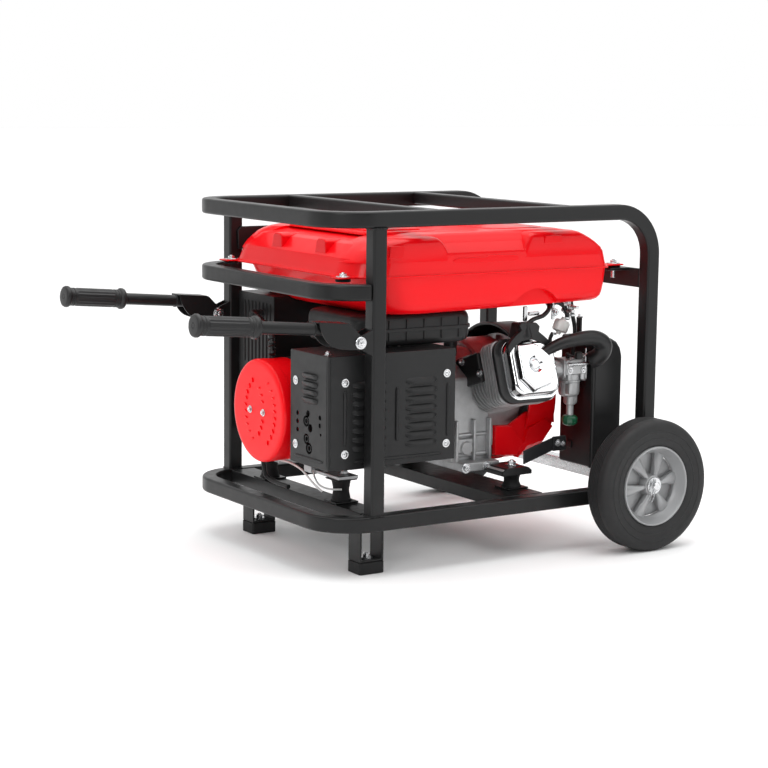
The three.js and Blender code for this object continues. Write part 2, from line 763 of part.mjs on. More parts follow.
function buildConduit() {
  const route = new THREE.CatmullRomCurve3(
    [
      [-225, 8, CRANK_Z + 97],
      [-226, 8, 385],
      [-222, 20, 410],
      [-212, 80, 428],
      [-204, 116, 432],
      [-192, 137, 432],
      [-181, 142, 432],
      [PANEL_X[0] - 1, 142, 432],
    ].map((point) => new THREE.Vector3(...point)),
  );
  const section = polygon(cutCorners(-7, 7, -7, 7, 4));
  const tube = new THREE.ExtrudeGeometry(section, { steps: 16, extrudePath: route, bevelEnabled: false });
  piece("wiring_conduit", tube, PLASTIC);
}

function buildMounts() {
  for (const [name, side] of Object.entries(SIDES)) {
    const block = (x, y, top) => turned(
      [[0, 0], [19, 0], [14, 12], [14, top - 12], [19, top], [0, top]],
      "z",
      [x, side * y, BASE_TOP + GAP],
      16,
    );
    piece(`isolator_left_${name}`, block(MOUNT_LEFT_X, MOUNT_LEFT_Y, 158 - BASE_TOP - 2 * GAP), RUBBER);
    piece(`isolator_right_${name}`, block(MOUNT_RIGHT_X, MOUNT_RIGHT_Y, ENGINE_FOOT - BASE_TOP - 2 * GAP), RUBBER);
  }
}

buildFrame();
buildTankBracket();
buildRails();
buildFeet();
buildAxle();
buildWheels();
buildHandles();
buildTank();
buildVentBox();
buildPanel();
buildAlternator();
buildEngine();
cutOilFiller();
buildCooling();
buildIntake();
buildFuelLine();
buildExhaust();
buildConduit();
buildMounts();

export default generator;
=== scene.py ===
"""A portable petrol generator: its visible surfaces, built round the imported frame.

Shapes are written in millimetres in the frame of the CAD model and turned into metres when a piece is shown.
"""

import json
import math

import bmesh
import bpy
from mathutils import Matrix, Vector


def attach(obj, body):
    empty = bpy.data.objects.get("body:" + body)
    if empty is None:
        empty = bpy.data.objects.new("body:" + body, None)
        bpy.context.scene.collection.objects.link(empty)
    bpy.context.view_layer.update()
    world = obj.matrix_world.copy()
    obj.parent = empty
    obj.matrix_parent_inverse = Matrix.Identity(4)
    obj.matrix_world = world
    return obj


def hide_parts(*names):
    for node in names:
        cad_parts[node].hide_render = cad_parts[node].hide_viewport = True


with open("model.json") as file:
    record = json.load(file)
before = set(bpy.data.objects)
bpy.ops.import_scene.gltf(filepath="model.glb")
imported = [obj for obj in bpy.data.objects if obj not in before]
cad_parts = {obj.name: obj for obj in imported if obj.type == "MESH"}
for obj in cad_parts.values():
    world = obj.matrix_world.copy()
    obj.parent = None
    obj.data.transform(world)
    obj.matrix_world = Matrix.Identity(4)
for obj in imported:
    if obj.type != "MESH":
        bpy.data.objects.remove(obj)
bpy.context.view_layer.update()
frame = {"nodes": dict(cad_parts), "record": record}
OWNER = {node: body for body, nodes in frame["record"]["behaviour"]["bodies"].items() for node in nodes}
SLOT = {part["node"]: part["material_slot"] for part in frame["record"]["subparts"]}
scene = bpy.context.scene
MM = 0.001
SIDES = {"near": -1, "far": 1}  # the sign of Y

# ---------------------------------------------------------------- materials


def add_node(tree, kind, **settings):
    node = tree.nodes.new(kind)
    for key, value in settings.items():
        setattr(node, key, value)
    return node


def noise(tree, coords, scale, detail=4.0, stretch=(1, 1, 1)):
    mapping = add_node(tree, "ShaderNodeMapping")
    mapping.inputs["Scale"].default_value = stretch
    tree.links.new(coords.outputs["Object"], mapping.inputs["Vector"])
    node = add_node(tree, "ShaderNodeTexNoise")
    node.inputs["Scale"].default_value = scale
    node.inputs["Detail"].default_value = detail
    tree.links.new(mapping.outputs["Vector"], node.inputs["Vector"])
    return node.outputs["Fac"]


def ramp(tree, factor, low, high, start=0.3, end=0.7):
    node = add_node(tree, "ShaderNodeValToRGB")
    node.color_ramp.elements[0].position = start
    node.color_ramp.elements[1].position = end
    node.color_ramp.elements[0].color = (*low, 1)
    node.color_ramp.elements[1].color = (*high, 1)
    tree.links.new(factor, node.inputs["Fac"])
    return node.outputs["Color"]


def material(name, color, rough, metal=0.0, coat=0.0, coat_rough=0.08, level=0.5, mottle=0.12,
             mottle_scale=9, spread=0.05, grains=((900, 0.05, 0.0002),), stretch=(1, 1, 1),
             see_through=0.0):
    """A Principled surface whose colour, roughness and relief all come from noise at the finish's own scale.

    grains holds (scale, strength, height in metres) of each layer of relief.
    """
    mat = bpy.data.materials.new(name)
    mat.use_nodes = True
    tree = mat.node_tree
    shader = tree.nodes["Principled BSDF"]
    shader.inputs["Metallic"].default_value = metal
    shader.inputs["Coat Weight"].default_value = coat
    shader.inputs["Coat Roughness"].default_value = coat_rough
    shader.inputs["Specular IOR Level"].default_value = level
    shader.inputs["Transmission Weight"].default_value = see_through
    coords = add_node(tree, "ShaderNodeTexCoord")
    cloud = noise(tree, coords, mottle_scale, 6.0, stretch)
    low = [channel * (1 - mottle) for channel in color]
    high = [min(1.0, channel * (1 + mottle)) for channel in color]
    tree.links.new(ramp(tree, cloud, low, high), shader.inputs["Base Color"])
    fine = noise(tree, coords, mottle_scale * 7, 5.0, stretch)
    span = add_node(tree, "ShaderNodeMapRange")
    span.inputs["From Min"].default_value = 0.3
    span.inputs["From Max"].default_value = 0.7
    span.inputs["To Min"].default_value = max(0.02, rough - spread)
    span.inputs["To Max"].default_value = rough + spread
    tree.links.new(fine, span.inputs["Value"])
    tree.links.new(span.outputs["Result"], shader.inputs["Roughness"])
    relief = None
    for scale, strength, height in grains:
        bump = add_node(tree, "ShaderNodeBump")
        bump.inputs["Strength"].default_value = strength
        bump.inputs["Distance"].default_value = height
        tree.links.new(noise(tree, coords, scale, 3.0, stretch), bump.inputs["Height"])
        if relief:
            tree.links.new(relief, bump.inputs["Normal"])
        relief = bump.outputs["Normal"]
    if relief:
        tree.links.new(relief, shader.inputs["Normal"])
    mat.diffuse_color = (*color, 1)
    return mat


FINISH = {
    "frame_paint": material("powder_coat", (0.0085, 0.0087, 0.009), 0.36, level=0.3, mottle=0.08,
                            grains=((420, 0.10, 0.0004), (1500, 0.08, 0.0002))),
    "red_paint": material("red_enamel", (0.86, 0.0016, 0.006), 0.36, coat=0.22, coat_rough=0.07, level=0.1,
                          mottle=0.02, mottle_scale=5, grains=((160, 0.02, 0.0002),)),
    "box_steel": material("grey_sheet_paint", (0.0135, 0.0137, 0.0142), 0.42, level=0.3, mottle=0.06,
                          grains=((700, 0.10, 0.0003),)),
    "rim_paint": material("silver_paint", (0.34, 0.345, 0.35), 0.40, metal=0.35, mottle=0.04,
                          grains=((1300, 0.06, 0.0002),)),
    "cast_aluminium": material("cast_aluminium", (0.50, 0.505, 0.51), 0.48, metal=0.75, mottle=0.12,
                               mottle_scale=40, spread=0.09,
                               grains=((520, 0.22, 0.0006), (1700, 0.2, 0.0003))),
    "chrome": material("chrome", (0.80, 0.81, 0.82), 0.09, metal=1.0, mottle=0.02, spread=0.02,
                       grains=((60, 0.03, 0.0006),)),
    "zinc_steel": material("zinc_plate", (0.66, 0.67, 0.68), 0.27, metal=1.0, mottle=0.08, mottle_scale=30,
                           grains=((1200, 0.08, 0.0002),)),
    "tyre": material("tyre_rubber", (0.0185, 0.0185, 0.019), 0.62, level=0.35, mottle=0.14, mottle_scale=14,
                     grains=((800, 0.16, 0.0003), (90, 0.05, 0.0008))),
    "mount_rubber": material("mount_rubber", (0.012, 0.012, 0.0125), 0.66, level=0.3, mottle=0.18,
                             grains=((600, 0.2, 0.0004),)),
    "grip_rubber": material("grip_rubber", (0.0085, 0.0085, 0.009), 0.44, level=0.4, mottle=0.12,
                            grains=((1400, 0.18, 0.0002),)),
    "hose_rubber": material("hose_rubber", (0.0085, 0.0085, 0.009), 0.40, level=0.4, mottle=0.12,
                            grains=((900, 0.12, 0.0002),)),
    "black_plastic": material("grained_plastic", (0.009, 0.009, 0.0095), 0.40, level=0.42, mottle=0.08,
                              grains=((1100, 0.2, 0.0003),)),
    "red_plastic": material("red_plastic", (0.42, 0.012, 0.018), 0.34, mottle=0.06,
                            grains=((1100, 0.08, 0.0002),)),
}
GREEN = material("green_plastic", (0.004, 0.085, 0.035), 0.32, coat=0.3, mottle=0.08,
                 grains=((900, 0.1, 0.0002),))
MILKY = material("milky_plastic", (0.78, 0.78, 0.76), 0.22, coat=0.3, see_through=0.35, mottle=0.04,
                 grains=((700, 0.06, 0.0002),))
WHITE = material("white_wire", (0.74, 0.74, 0.73), 0.42, mottle=0.05, grains=((1500, 0.05, 0.0001),))
DARK = material("dark_steel", (0.03, 0.031, 0.033), 0.34, metal=0.6, mottle=0.15,
                grains=((900, 0.14, 0.0003),))

# ---------------------------------------------------------------- solids


def v(*values):
    return Vector(values)


def moved(x=0, y=0, z=0):
    return Matrix.Translation((x, y, z))


def turned(degrees, axis):
    return Matrix.Rotation(math.radians(degrees), 4, axis)


def placed(part, matrix):
    bmesh.ops.transform(part, matrix=matrix, verts=part.verts)
    return part


def bevel(part, width, segments=2, limit=30):
    """Rounds every edge that is sharper than limit degrees."""
    sharp = math.radians(limit)
    edges = [e for e in part.edges if len(e.link_faces) == 2 and e.calc_face_angle(0) > sharp]
    bmesh.ops.bevel(part, geom=edges, offset=width, offset_type="OFFSET", segments=segments, profile=0.5,
                    affect="EDGES", clamp_overlap=True)
    return part


def prism(outline, plane, start, end, width=0.0, segments=2):
    """An outline in the xy, xz or yz plane, thickened from start to end, with its edges rounded."""
    axis = {"xy": 2, "xz": 1, "yz": 0}[plane]
    part = bmesh.new()
    corners = []
    for a, b in outline:
        point = [a, b]
        point.insert(axis, start)
        corners.append(part.verts.new(point))
    face = part.faces.new(corners)
    swept = bmesh.ops.extrude_face_region(part, geom=[face])["geom"]
    shift = Vector((0, 0, 0))
    shift[axis] = end - start
    bmesh.ops.translate(part, verts=[g for g in swept if isinstance(g, bmesh.types.BMVert)], vec=shift)
    bmesh.ops.recalc_face_normals(part, faces=part.faces)
    if width:
        bevel(part, width, segments)
    return part


def block(low, high, width=0.0, segments=2):
    outline = [(low[0], low[1]), (high[0], low[1]), (high[0], high[1]), (low[0], high[1])]
    return prism(outline, "xy", low[2], high[2], width, segments)


def rounded(x0, x1, y0, y1, radius, steps=6):
    """The outline of a rectangle with round corners."""
    centres = [(x1 - radius, y0 + radius), (x1 - radius, y1 - radius), (x0 + radius, y1 - radius),
               (x0 + radius, y0 + radius)]
    points = []
    for quarter, (x, y) in enumerate(centres):
        for i in range(steps + 1):
            angle = math.radians(-90 + 90 * quarter + 90 * i / steps)
            points.append((x + radius * math.cos(angle), y + radius * math.sin(angle)))
    return points


def loft(rings, looped=False):
    """A skin through rings of points that all have the same count."""
    part = bmesh.new()
    rows = [[part.verts.new(p) for p in ring] for ring in rings]
    count = len(rows[0])
    pairs = list(zip(rows, rows[1:])) + ([(rows[-1], rows[0])] if looped else [])
    for lower, upper in pairs:
        for i in range(count):
            j = (i + 1) % count
            part.faces.new((lower[i], lower[j], upper[j], upper[i]))
    if not looped:
        part.faces.new(reversed(rows[0]))
        part.faces.new(rows[-1])
    bmesh.ops.recalc_face_normals(part, faces=part.faces)
    return part


AXES = {
    "x": Matrix(((0, 0, 1, 0), (1, 0, 0, 0), (0, 1, 0, 0), (0, 0, 0, 1))),
    "y": Matrix(((0, 1, 0, 0), (0, 0, 1, 0), (1, 0, 0, 0), (0, 0, 0, 1))),
    "z": Matrix.Identity(4),
}


def lathe(profile, axis="z", at=(0, 0, 0), steps=48, flutes=None):
    """A closed profile of (radius, along) turned about an axis.

    flutes holds the count and depth of ripples round it, and where they start and end along it.
    """
    part = bmesh.new()
    rows = []
    for radius, along in profile:
        if radius < 1e-6:
            rows.append([part.verts.new((0, 0, along))])
            continue
        row = []
        for i in range(steps):
            angle = 2 * math.pi * i / steps
            r = radius
            if flutes and flutes[2] <= along <= flutes[3]:
                r += flutes[1] * max(0.0, math.cos(flutes[0] * angle)) ** 0.5
            row.append(part.verts.new((r * math.cos(angle), r * math.sin(angle), along)))
        rows.append(row)
    pairs = list(zip(rows, rows[1:]))
    if len(rows[0]) > 1 and len(rows[-1]) > 1:
        pairs.append((rows[-1], rows[0]))
    for one, two in pairs:
        for i in range(steps):
            j = (i + 1) % steps
            corners = [one[i % len(one)], one[j % len(one)], two[j % len(two)], two[i % len(two)]]
            unique = list(dict.fromkeys(corners))
            if len(unique) > 2:
                part.faces.new(unique)
    placed(part, moved(*at) @ AXES[axis])
    bmesh.ops.recalc_face_normals(part, faces=part.faces)
    return part


def rod(radius, start, end, axis="z", at=(0, 0, 0), steps=32, round_off=0.8):
    c = round_off
    profile = [(0, start), (radius - c, start), (radius, start + c), (radius, end - c), (radius - c, end),
               (0, end)]
    return lathe(profile, axis, at, steps)


def circle(radius, count=16):
    return [(radius * math.cos(2 * math.pi * i / count), radius * math.sin(2 * math.pi * i / count))
            for i in range(count)]


def sweep(path, section, closed=False, scales=None):
    """A section carried along a path without twisting."""
    points = [Vector(p) for p in path]
    count = len(points)
    rings = []
    normal = None
    previous = None
    for i, point in enumerate(points):
        before = points[i - 1] if i or closed else point
        after = points[(i + 1) % count] if i + 1 < count or closed else point
        tangent = (after - before).normalized()
        if normal is None:
            guide = Vector((0, 0, 1)) if abs(tangent.z) < 0.9 else Vector((0, 1, 0))
            normal = (guide - guide.dot(tangent) * tangent).normalized()
        else:
            normal = previous.rotation_difference(tangent) @ normal
        side = tangent.cross(normal)
        scale = scales[i] if scales else 1.0
        rings.append([point + (normal * a + side * b) * scale for a, b in section])
        previous = tangent
    return loft(rings, looped=closed)


def smooth(points, per=8):
    """A Catmull-Rom curve through the points."""
    line = [Vector(p) for p in points]
    ends = [2 * line[0] - line[1]] + line + [2 * line[-1] - line[-2]]
    out = []
    for a, b, c, d in zip(ends, ends[1:], ends[2:], ends[3:]):
        for i in range(per):
            t = i / per
            out.append(0.5 * (2 * b + (c - a) * t + (2 * a - 5 * b + 4 * c - d) * t * t
                              + (3 * b - a - 3 * c + d) * t ** 3))
    return out + [line[-1]]


def cable(points, radius, sides=12, per=8):
    """A round tube along a smooth line through the points."""
    return sweep(smooth(points, per), circle(radius, sides))


def arc(centre, radius, start, end, plane="xy", steps=14):
    """Points of an arc; angles in degrees run from the plane's first axis to its second."""
    spots = []
    for i in range(steps + 1):
        angle = math.radians(start + (end - start) * i / steps)
        a, b = radius * math.cos(angle), radius * math.sin(angle)
        spots.append(Vector(centre) + {"xy": v(a, b, 0), "xz": v(a, 0, b), "yz": v(0, a, b)}[plane])
    return spots


def skin(node, width=0.0, segments=2, limit=30):
    """A copy of a CAD node's solid, in millimetres, with its flat faces merged and its edges rounded."""
    part = bmesh.new()
    part.from_mesh(frame["nodes"][node].data)
    placed(part, Matrix.Scale(1 / MM, 4))
    bmesh.ops.remove_doubles(part, verts=part.verts, dist=0.01)
    bmesh.ops.dissolve_limit(part, angle_limit=math.radians(0.6), verts=part.verts, edges=part.edges)
    if width:
        bevel(part, width, segments, limit)
    return part


class Build:
    """Closed bodies gathered into one mesh."""

    def __init__(self, *parts):
        self.mesh = bmesh.new()
        self.add(*parts)

    def add(self, *parts, place=None):
        for part in parts:
            if place is not None:
                placed(part, place)
            data = bpy.data.meshes.new("part")
            part.to_mesh(data)
            part.free()
            self.mesh.from_mesh(data)
            bpy.data.meshes.remove(data)
        return self

    def to_object(self, name):
        data = bpy.data.meshes.new(name)
        self.mesh.to_mesh(data)
        self.mesh.free()
        obj = bpy.data.objects.new(name, data)
        scene.collection.objects.link(obj)
        return obj

    def minus(self, cutters):
        """The bodies with the cutters' space taken out of them."""
        target = self.to_object("target")
        tool = cutters.to_object("tool")
        cut = target.modifiers.new("cut", "BOOLEAN")
        cut.object = tool
        cut.operation = "DIFFERENCE"
        cut.solver = "EXACT"
        cut.use_self = True
        result = target.evaluated_get(bpy.context.evaluated_depsgraph_get())
        self.mesh = bmesh.new()
        self.mesh.from_mesh(result.to_mesh())
        for obj in (target, tool):
            data = obj.data
            bpy.data.objects.remove(obj)
            bpy.data.meshes.remove(data)
        return self


def show(name, build, slot=None, body="chassis", replaces=(), finish=None, smooth_below=38):
    """Makes one visible piece from a build, on its body, with its slot's finish."""
    if replaces:
        body = OWNER[replaces[0]]
        slot = slot or SLOT[replaces[0]]
    obj = build.to_object(name)
    obj.data.transform(Matrix.Scale(MM, 4))
    obj.data.materials.append(finish or FINISH[slot])
    obj.data.shade_smooth()
    obj.data.set_sharp_from_angle(angle=math.radians(smooth_below))
    weighted = obj.modifiers.new("weighted", "WEIGHTED_NORMAL")
    weighted.keep_sharp = True
    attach(obj, body)
    if replaces:
        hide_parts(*replaces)
    return obj


def show_skin(name, node, width, segments=2):
    """Shows a CAD node's own shape with its edges rounded."""
    show(name, Build(skin(node, width, segments)), replaces=(node,))


# ---------------------------------------------------------------- fasteners and small parts


def facing(direction, at):
    """Takes local +Z to a direction, at a point."""
    turn = Vector((0, 0, 1)).rotation_difference(Vector(direction))
    return moved(*at) @ turn.to_matrix().to_4x4()


def hex_bolt(at, direction, radius=6.5, height=5.0, washer=1.75, turn=12):
    """A hexagon head on a washer; at is the middle of the washer's underside."""
    place = facing(direction, at) @ turned(turn, "Z")
    thick = radius * 0.22
    ring = lathe([(0, 0), (radius * washer, 0), (radius * washer, thick * 0.7),
                  (radius * washer - 0.5, thick), (0, thick)], steps=32)
    head = prism(circle(radius, 6), "xy", thick, thick + height, radius * 0.09)
    dome = lathe([(0, thick + height - 0.5), (radius * 0.55, thick + height - 0.5),
                  (radius * 0.4, thick + height + radius * 0.3), (0, thick + height + radius * 0.42)],
                 steps=24)
    out = Build()
    out.add(ring, head, dome, place=place)
    return out.mesh


def pan_screw(at, direction, radius=5.0, washer=1.5, turn=30):
    """A pan head with a cross recess on a washer."""
    place = facing(direction, at) @ turned(turn, "Z")
    out = Build()
    ring = lathe([(0, 0), (radius * washer, 0), (radius * washer, 0.9), (0, 0.9)], steps=28)
    head = Build(lathe([(0, 0.8), (radius, 0.8), (radius * 0.96, 1.9), (radius * 0.72, 3.0), (0, 3.4)],
                       steps=28))
    arms = Build(block((-radius * 0.6, -0.55, 2.2), (radius * 0.6, 0.55, 5)),
                 block((-0.55, -radius * 0.6, 2.2), (0.55, radius * 0.6, 5)))
    head.minus(arms)
    out.add(ring, head.mesh, place=place)
    return out.mesh


def bead(path, radius, ripple=0.35, sides=7):
    """A weld bead: a closed path whose width comes and goes."""
    scales = [1 + ripple * math.sin(i * 2.1) for i in range(len(path))]
    return sweep(path, circle(radius, sides), closed=True, scales=scales)


def louvre(length, height, depth):
    """A pressed louvre with round ends: length along X, height along Y, standing out along +Z."""
    rings = []
    for i in range(13):
        u = -1 + 2 * i / 12
        s = max(0.02, (1 - abs(u) ** 5)) ** 0.5
        x = u * length / 2
        h, d = height * (0.35 + 0.65 * s), depth * s
        rings.append([(x, h / 2, -0.6), (x, h / 2, 0.1), (x, h * 0.2, d * 0.62), (x, -h * 0.2, d),
                      (x, -h * 0.42, d), (x, -h / 2, 0.3), (x, -h / 2, -0.6)])
    return loft(rings)


def rib(start, end, radius=2.2):
    """A straight pressed rib with tapered ends."""
    a, b = Vector(start), Vector(end)
    stations = [0, 0.01, 0.03, 0.06, 0.5, 0.94, 0.97, 0.99, 1]
    widths = [0.1, 0.5, 0.8, 1, 1, 1, 0.8, 0.5, 0.1]
    return sweep([a.lerp(b, t) for t in stations], circle(radius, 10), scales=widths)


# ---------------------------------------------------------------- camera, floor and light

CAMERA_AT = Vector((-2.0801, -3.2286, 0.8676))
CAMERA_TURN = math.radians(32.99)
CAMERA_DOWN = math.radians(8.389)
CAMERA_ROLL = math.radians(0.653)


def make_camera():
    sin_a, cos_a = math.sin(CAMERA_TURN), math.cos(CAMERA_TURN)
    forward = v(sin_a * math.cos(CAMERA_DOWN), cos_a * math.cos(CAMERA_DOWN), -math.sin(CAMERA_DOWN))
    right = v(cos_a, -sin_a, 0)
    up = right.cross(forward)
    across = math.cos(CAMERA_ROLL) * right + math.sin(CAMERA_ROLL) * up
    upward = -math.sin(CAMERA_ROLL) * right + math.cos(CAMERA_ROLL) * up
    data = bpy.data.cameras.new("camera")
    data.lens = 95.72
    data.sensor_width = 36
    camera = bpy.data.objects.new("camera", data)
    turn = Matrix((across, upward, -forward)).transposed().to_4x4()
    camera.matrix_world = Matrix.Translation(CAMERA_AT) @ turn
    scene.collection.objects.link(camera)
    scene.camera = camera


def area_light(name, at, target, size, power):
    data = bpy.data.lights.new(name, "AREA")
    data.shape = "RECTANGLE"
    data.size, data.size_y = size
    data.energy = power
    light = bpy.data.objects.new(name, data)
    aim = (Vector(target) - Vector(at)).to_track_quat("-Z", "Y")
    light.matrix_world = Matrix.Translation(at) @ aim.to_matrix().to_4x4()
    scene.collection.objects.link(light)


def make_world():
    """A white tent that is open, and so dark, on the camera's side: dark surfaces there keep their depth."""
    world = bpy.data.worlds.new("studio")
    world.use_nodes = True
    tree = world.node_tree
    coords = add_node(tree, "ShaderNodeTexCoord")
    split = add_node(tree, "ShaderNodeSeparateXYZ")
    tree.links.new(coords.outputs["Generated"], split.inputs["Vector"])
    back = ramp(tree, split.outputs["Y"], (0.14, 0.14, 0.145), (1.0, 1.0, 1.0), 0.0, 0.22)
    roof = ramp(tree, split.outputs["Z"], (0, 0, 0), (1.75, 1.75, 1.75), 0.42, 0.8)
    total = add_node(tree, "ShaderNodeMixRGB", blend_type="LIGHTEN")
    total.inputs["Fac"].default_value = 1.0
    tree.links.new(back, total.inputs["Color1"])
    tree.links.new(roof, total.inputs["Color2"])
    tree.links.new(total.outputs["Color"], tree.nodes["Background"].inputs["Color"])
    scene.world = world


def make_studio():
    scene.view_settings.view_transform = "Standard"
    make_world()
    floor = bpy.data.meshes.new("floor")
    reach = 30
    floor.from_pydata([(-reach, -reach, 0), (reach, -reach, 0), (reach, reach, 0), (-reach, reach, 0)], [],
                      [(0, 1, 2, 3)])
    floor.materials.append(material("floor_paper", (0.93, 0.93, 0.93), 0.75, level=0.1, mottle=0.005,
                                    grains=((300, 0.02, 0.0002),)))
    ground = bpy.data.objects.new("floor", floor)
    scene.collection.objects.link(ground)
    area_light("key", (-2.6, -1.9, 1.9), (0, 0, 0.35), (0.8, 1.6), 26)
    area_light("top", (0.3, 0.0, 3.0), (0, 0, 0.3), (3.0, 2.2), 30)
    area_light("card", (1.9, -2.3, 1.35), (0.2, -0.2, 0.35), (1.7, 1.5), 14)


make_camera()
make_studio()

# ---------------------------------------------------------------- frame

PIVOT = (-211.5, 423.0)  # hinge of the handles, x and z
HANDLE_TILT = 4.7
TUBE = 28.6
TUBE_SECTION = rounded(-TUBE / 2, TUBE / 2, -TUBE / 2, TUBE / 2, 4.6, 4)
RAIL_Y = 258.0  # middle of the side tubes
LOOP_CORNER = (-176.5, 182.3)
CORNER_RADIUS = 75.7
POST_X = {"left": -170.2, "right": 444.9}
LEVEL = {"base": 98.4, "mid": 508.2, "top": 633.8}
BEND_RADIUS = 81.7
POST_FOOT, POST_HEAD = 113, 619  # levels where the posts meet the loops
BASE_END_X = 459.2
CROSSBAR_X = {"left": -42, "right": 252}
CROSSBAR_Z = 636.1
CROSSBAR_REACH = 243.4
FOOT_X = -159
FOOT_Y = {"near": -216, "far": 172}


def loop_path(z, start=-90.0):
    """The bent end of a loop, from the near side round to the far side, from an angle of its near corner."""
    x, y = LOOP_CORNER
    near = arc((x, -y, z), CORNER_RADIUS, start, -180)
    far = arc((x, y, z), CORNER_RADIUS, 180, -start)
    lead = 16  # extra stations beside each bend keep the straight lengths flat
    near += [near[-1] + v(0, lead, 0)]
    far = [far[0] - v(0, lead, 0)] + far
    if start == -90.0:
        near = [near[0] + v(lead, 0, 0)] + near
        far += [far[-1] + v(lead, 0, 0)]
    return near + far


def make_frame():
    x_bend = POST_X["right"] - BEND_RADIUS
    z_bend = LEVEL["top"] - BEND_RADIUS
    hoop = [v(POST_X["right"], -RAIL_Y, POST_FOOT)]
    hoop += arc((x_bend, -RAIL_Y, z_bend), BEND_RADIUS, 0, 90, "xz")
    hoop += loop_path(LEVEL["top"])
    hoop += list(reversed(arc((x_bend, RAIL_Y, z_bend), BEND_RADIUS, 0, 90, "xz")))
    hoop += [v(POST_X["right"], RAIL_Y, POST_FOOT)]
    show("top_hoop", Build(sweep(hoop, TUBE_SECTION)),
         replaces=("frame_top_loop", "frame_post_right_near", "frame_post_right_far"))
    show("mid_loop", Build(sweep(loop_path(LEVEL["mid"], -97.0), TUBE_SECTION)),
         replaces=("frame_mid_loop",))
    ends = [v(BASE_END_X, side * RAIL_Y, LEVEL["base"]) for side in (-1, 1)]
    base = Build(sweep([ends[0]] + loop_path(LEVEL["base"]) + [ends[1]], TUBE_SECTION))
    show("base_loop", base, replaces=("frame_base_loop",))
    plugs = Build()
    for side in (-1, 1):
        cap = prism(rounded(-12.6, 12.6, -12.6, 12.6, 4), "xy", -1.5, 2.0, 0.8)
        plugs.add(cap, place=facing((1, 0, 0), (BASE_END_X, side * RAIL_Y, LEVEL["base"])))
    show("tube_plugs", plugs, "black_plastic")

    for name, side in SIDES.items():
        y = side * RAIL_Y
        middle = (POST_FOOT + POST_HEAD) / 2
        post = Build(sweep([v(POST_X["left"], y, z) for z in (POST_FOOT, middle, POST_HEAD)], TUBE_SECTION))
        hinge = arc((PIVOT[0], 0, PIVOT[1]), 11, 90, 270, "xz", 10)
        ear = [(-183.5, 445)] + [(p.x, p.z) for p in hinge] + [(-183.5, 398)]
        for low in (-13.5, 11):
            post.add(prism(ear, "xz", y + low, y + low + 2.5, 0.6))
        show(f"left_post_{name}", post, replaces=(f"frame_post_left_{name}",))

    beads = Build()
    collar = [(a * 1.02, b * 1.02) for a, b in rounded(-14.3, 14.3, -14.3, 14.3, 4.6, 3)]
    steps = 9
    for side in (-1, 1):
        for x, z in ((POST_X["left"], POST_FOOT), (POST_X["right"], POST_FOOT), (POST_X["left"], POST_HEAD)):
            around = []
            for (a, b), (c, d) in zip(collar, collar[1:] + collar[:1]):
                long_side = math.hypot(c - a, d - b) > 8
                for i in range(steps if long_side else 1):
                    t = i / steps
                    around.append(v(x + a + (c - a) * t, side * RAIL_Y + b + (d - b) * t, z))
            beads.add(bead(around, 1.7))
    show("weld_beads", beads, "frame_paint")

    for name, x in CROSSBAR_X.items():
        section = rounded(-12, 12, -12, 12, 3.2, 4)
        bar = Build(sweep([v(x, y, CROSSBAR_Z) for y in (-CROSSBAR_REACH, 0, CROSSBAR_REACH)], section))
        show(f"crossbar_{name}", bar, replaces=(f"top_crossbar_{name}",))
    show_skin("tank_end_bar", "tank_end_bracket", 1.2)
    for name in ("left", "right"):
        show_skin(f"rail_{name}", f"engine_rail_{name}", 1.0)
    for name, y in FOOT_Y.items():
        show_skin(f"foot_strap_{name}", f"foot_bracket_{name}", 1.2)
        pad = Build(skin(f"foot_pad_{name}", 2.4, 3))
        for x in (FOOT_X - 19, FOOT_X + 19):
            pad.add(rib(v(x, y - 17, 21.6), v(x, y + 17, 21.6), 1.2))
        show(f"foot_block_{name}", pad, replaces=(f"foot_pad_{name}",))
        show(f"foot_bolt_{name}", Build(hex_bolt((FOOT_X, y, 26.4), (0, 0, 1), 7, 6)), "zinc_steel")


# ---------------------------------------------------------------- wheels

WHEEL_X = 397.5
WHEEL_Z = 125.0
WHEEL_FACE = 357.3
TREAD_GROOVES = (26, 30.5, 35, 39.5, 44, 48.5)
SPOKE_TURN = 8.0


def wheel_profile():
    """The tyre's section as (radius, depth behind its outer face)."""
    wall = [(75.6, 7.0), (78, 5.0), (82, 3.6), (90, 2.3), (90.6, 1.6), (91.8, 1.6), (92.4, 2.1), (103, 1.0),
            (103.6, 0.2), (104.8, 0.2), (105.4, 1.0), (112, 1.2), (117, 2.7), (121.2, 6.0), (123.7, 10),
            (124.8, 15), (125, 22)]
    tread = []
    for groove in TREAD_GROOVES:
        tread += [(125, groove - 1.1), (123.2, groove - 0.5), (123.2, groove + 0.5), (125, groove + 1.1)]
    inner = [(124.6, 52), (122.5, 55.5), (118, 58), (112, 59.4), (90, 58.6), (75.6, 54)]
    return wall + tread + inner


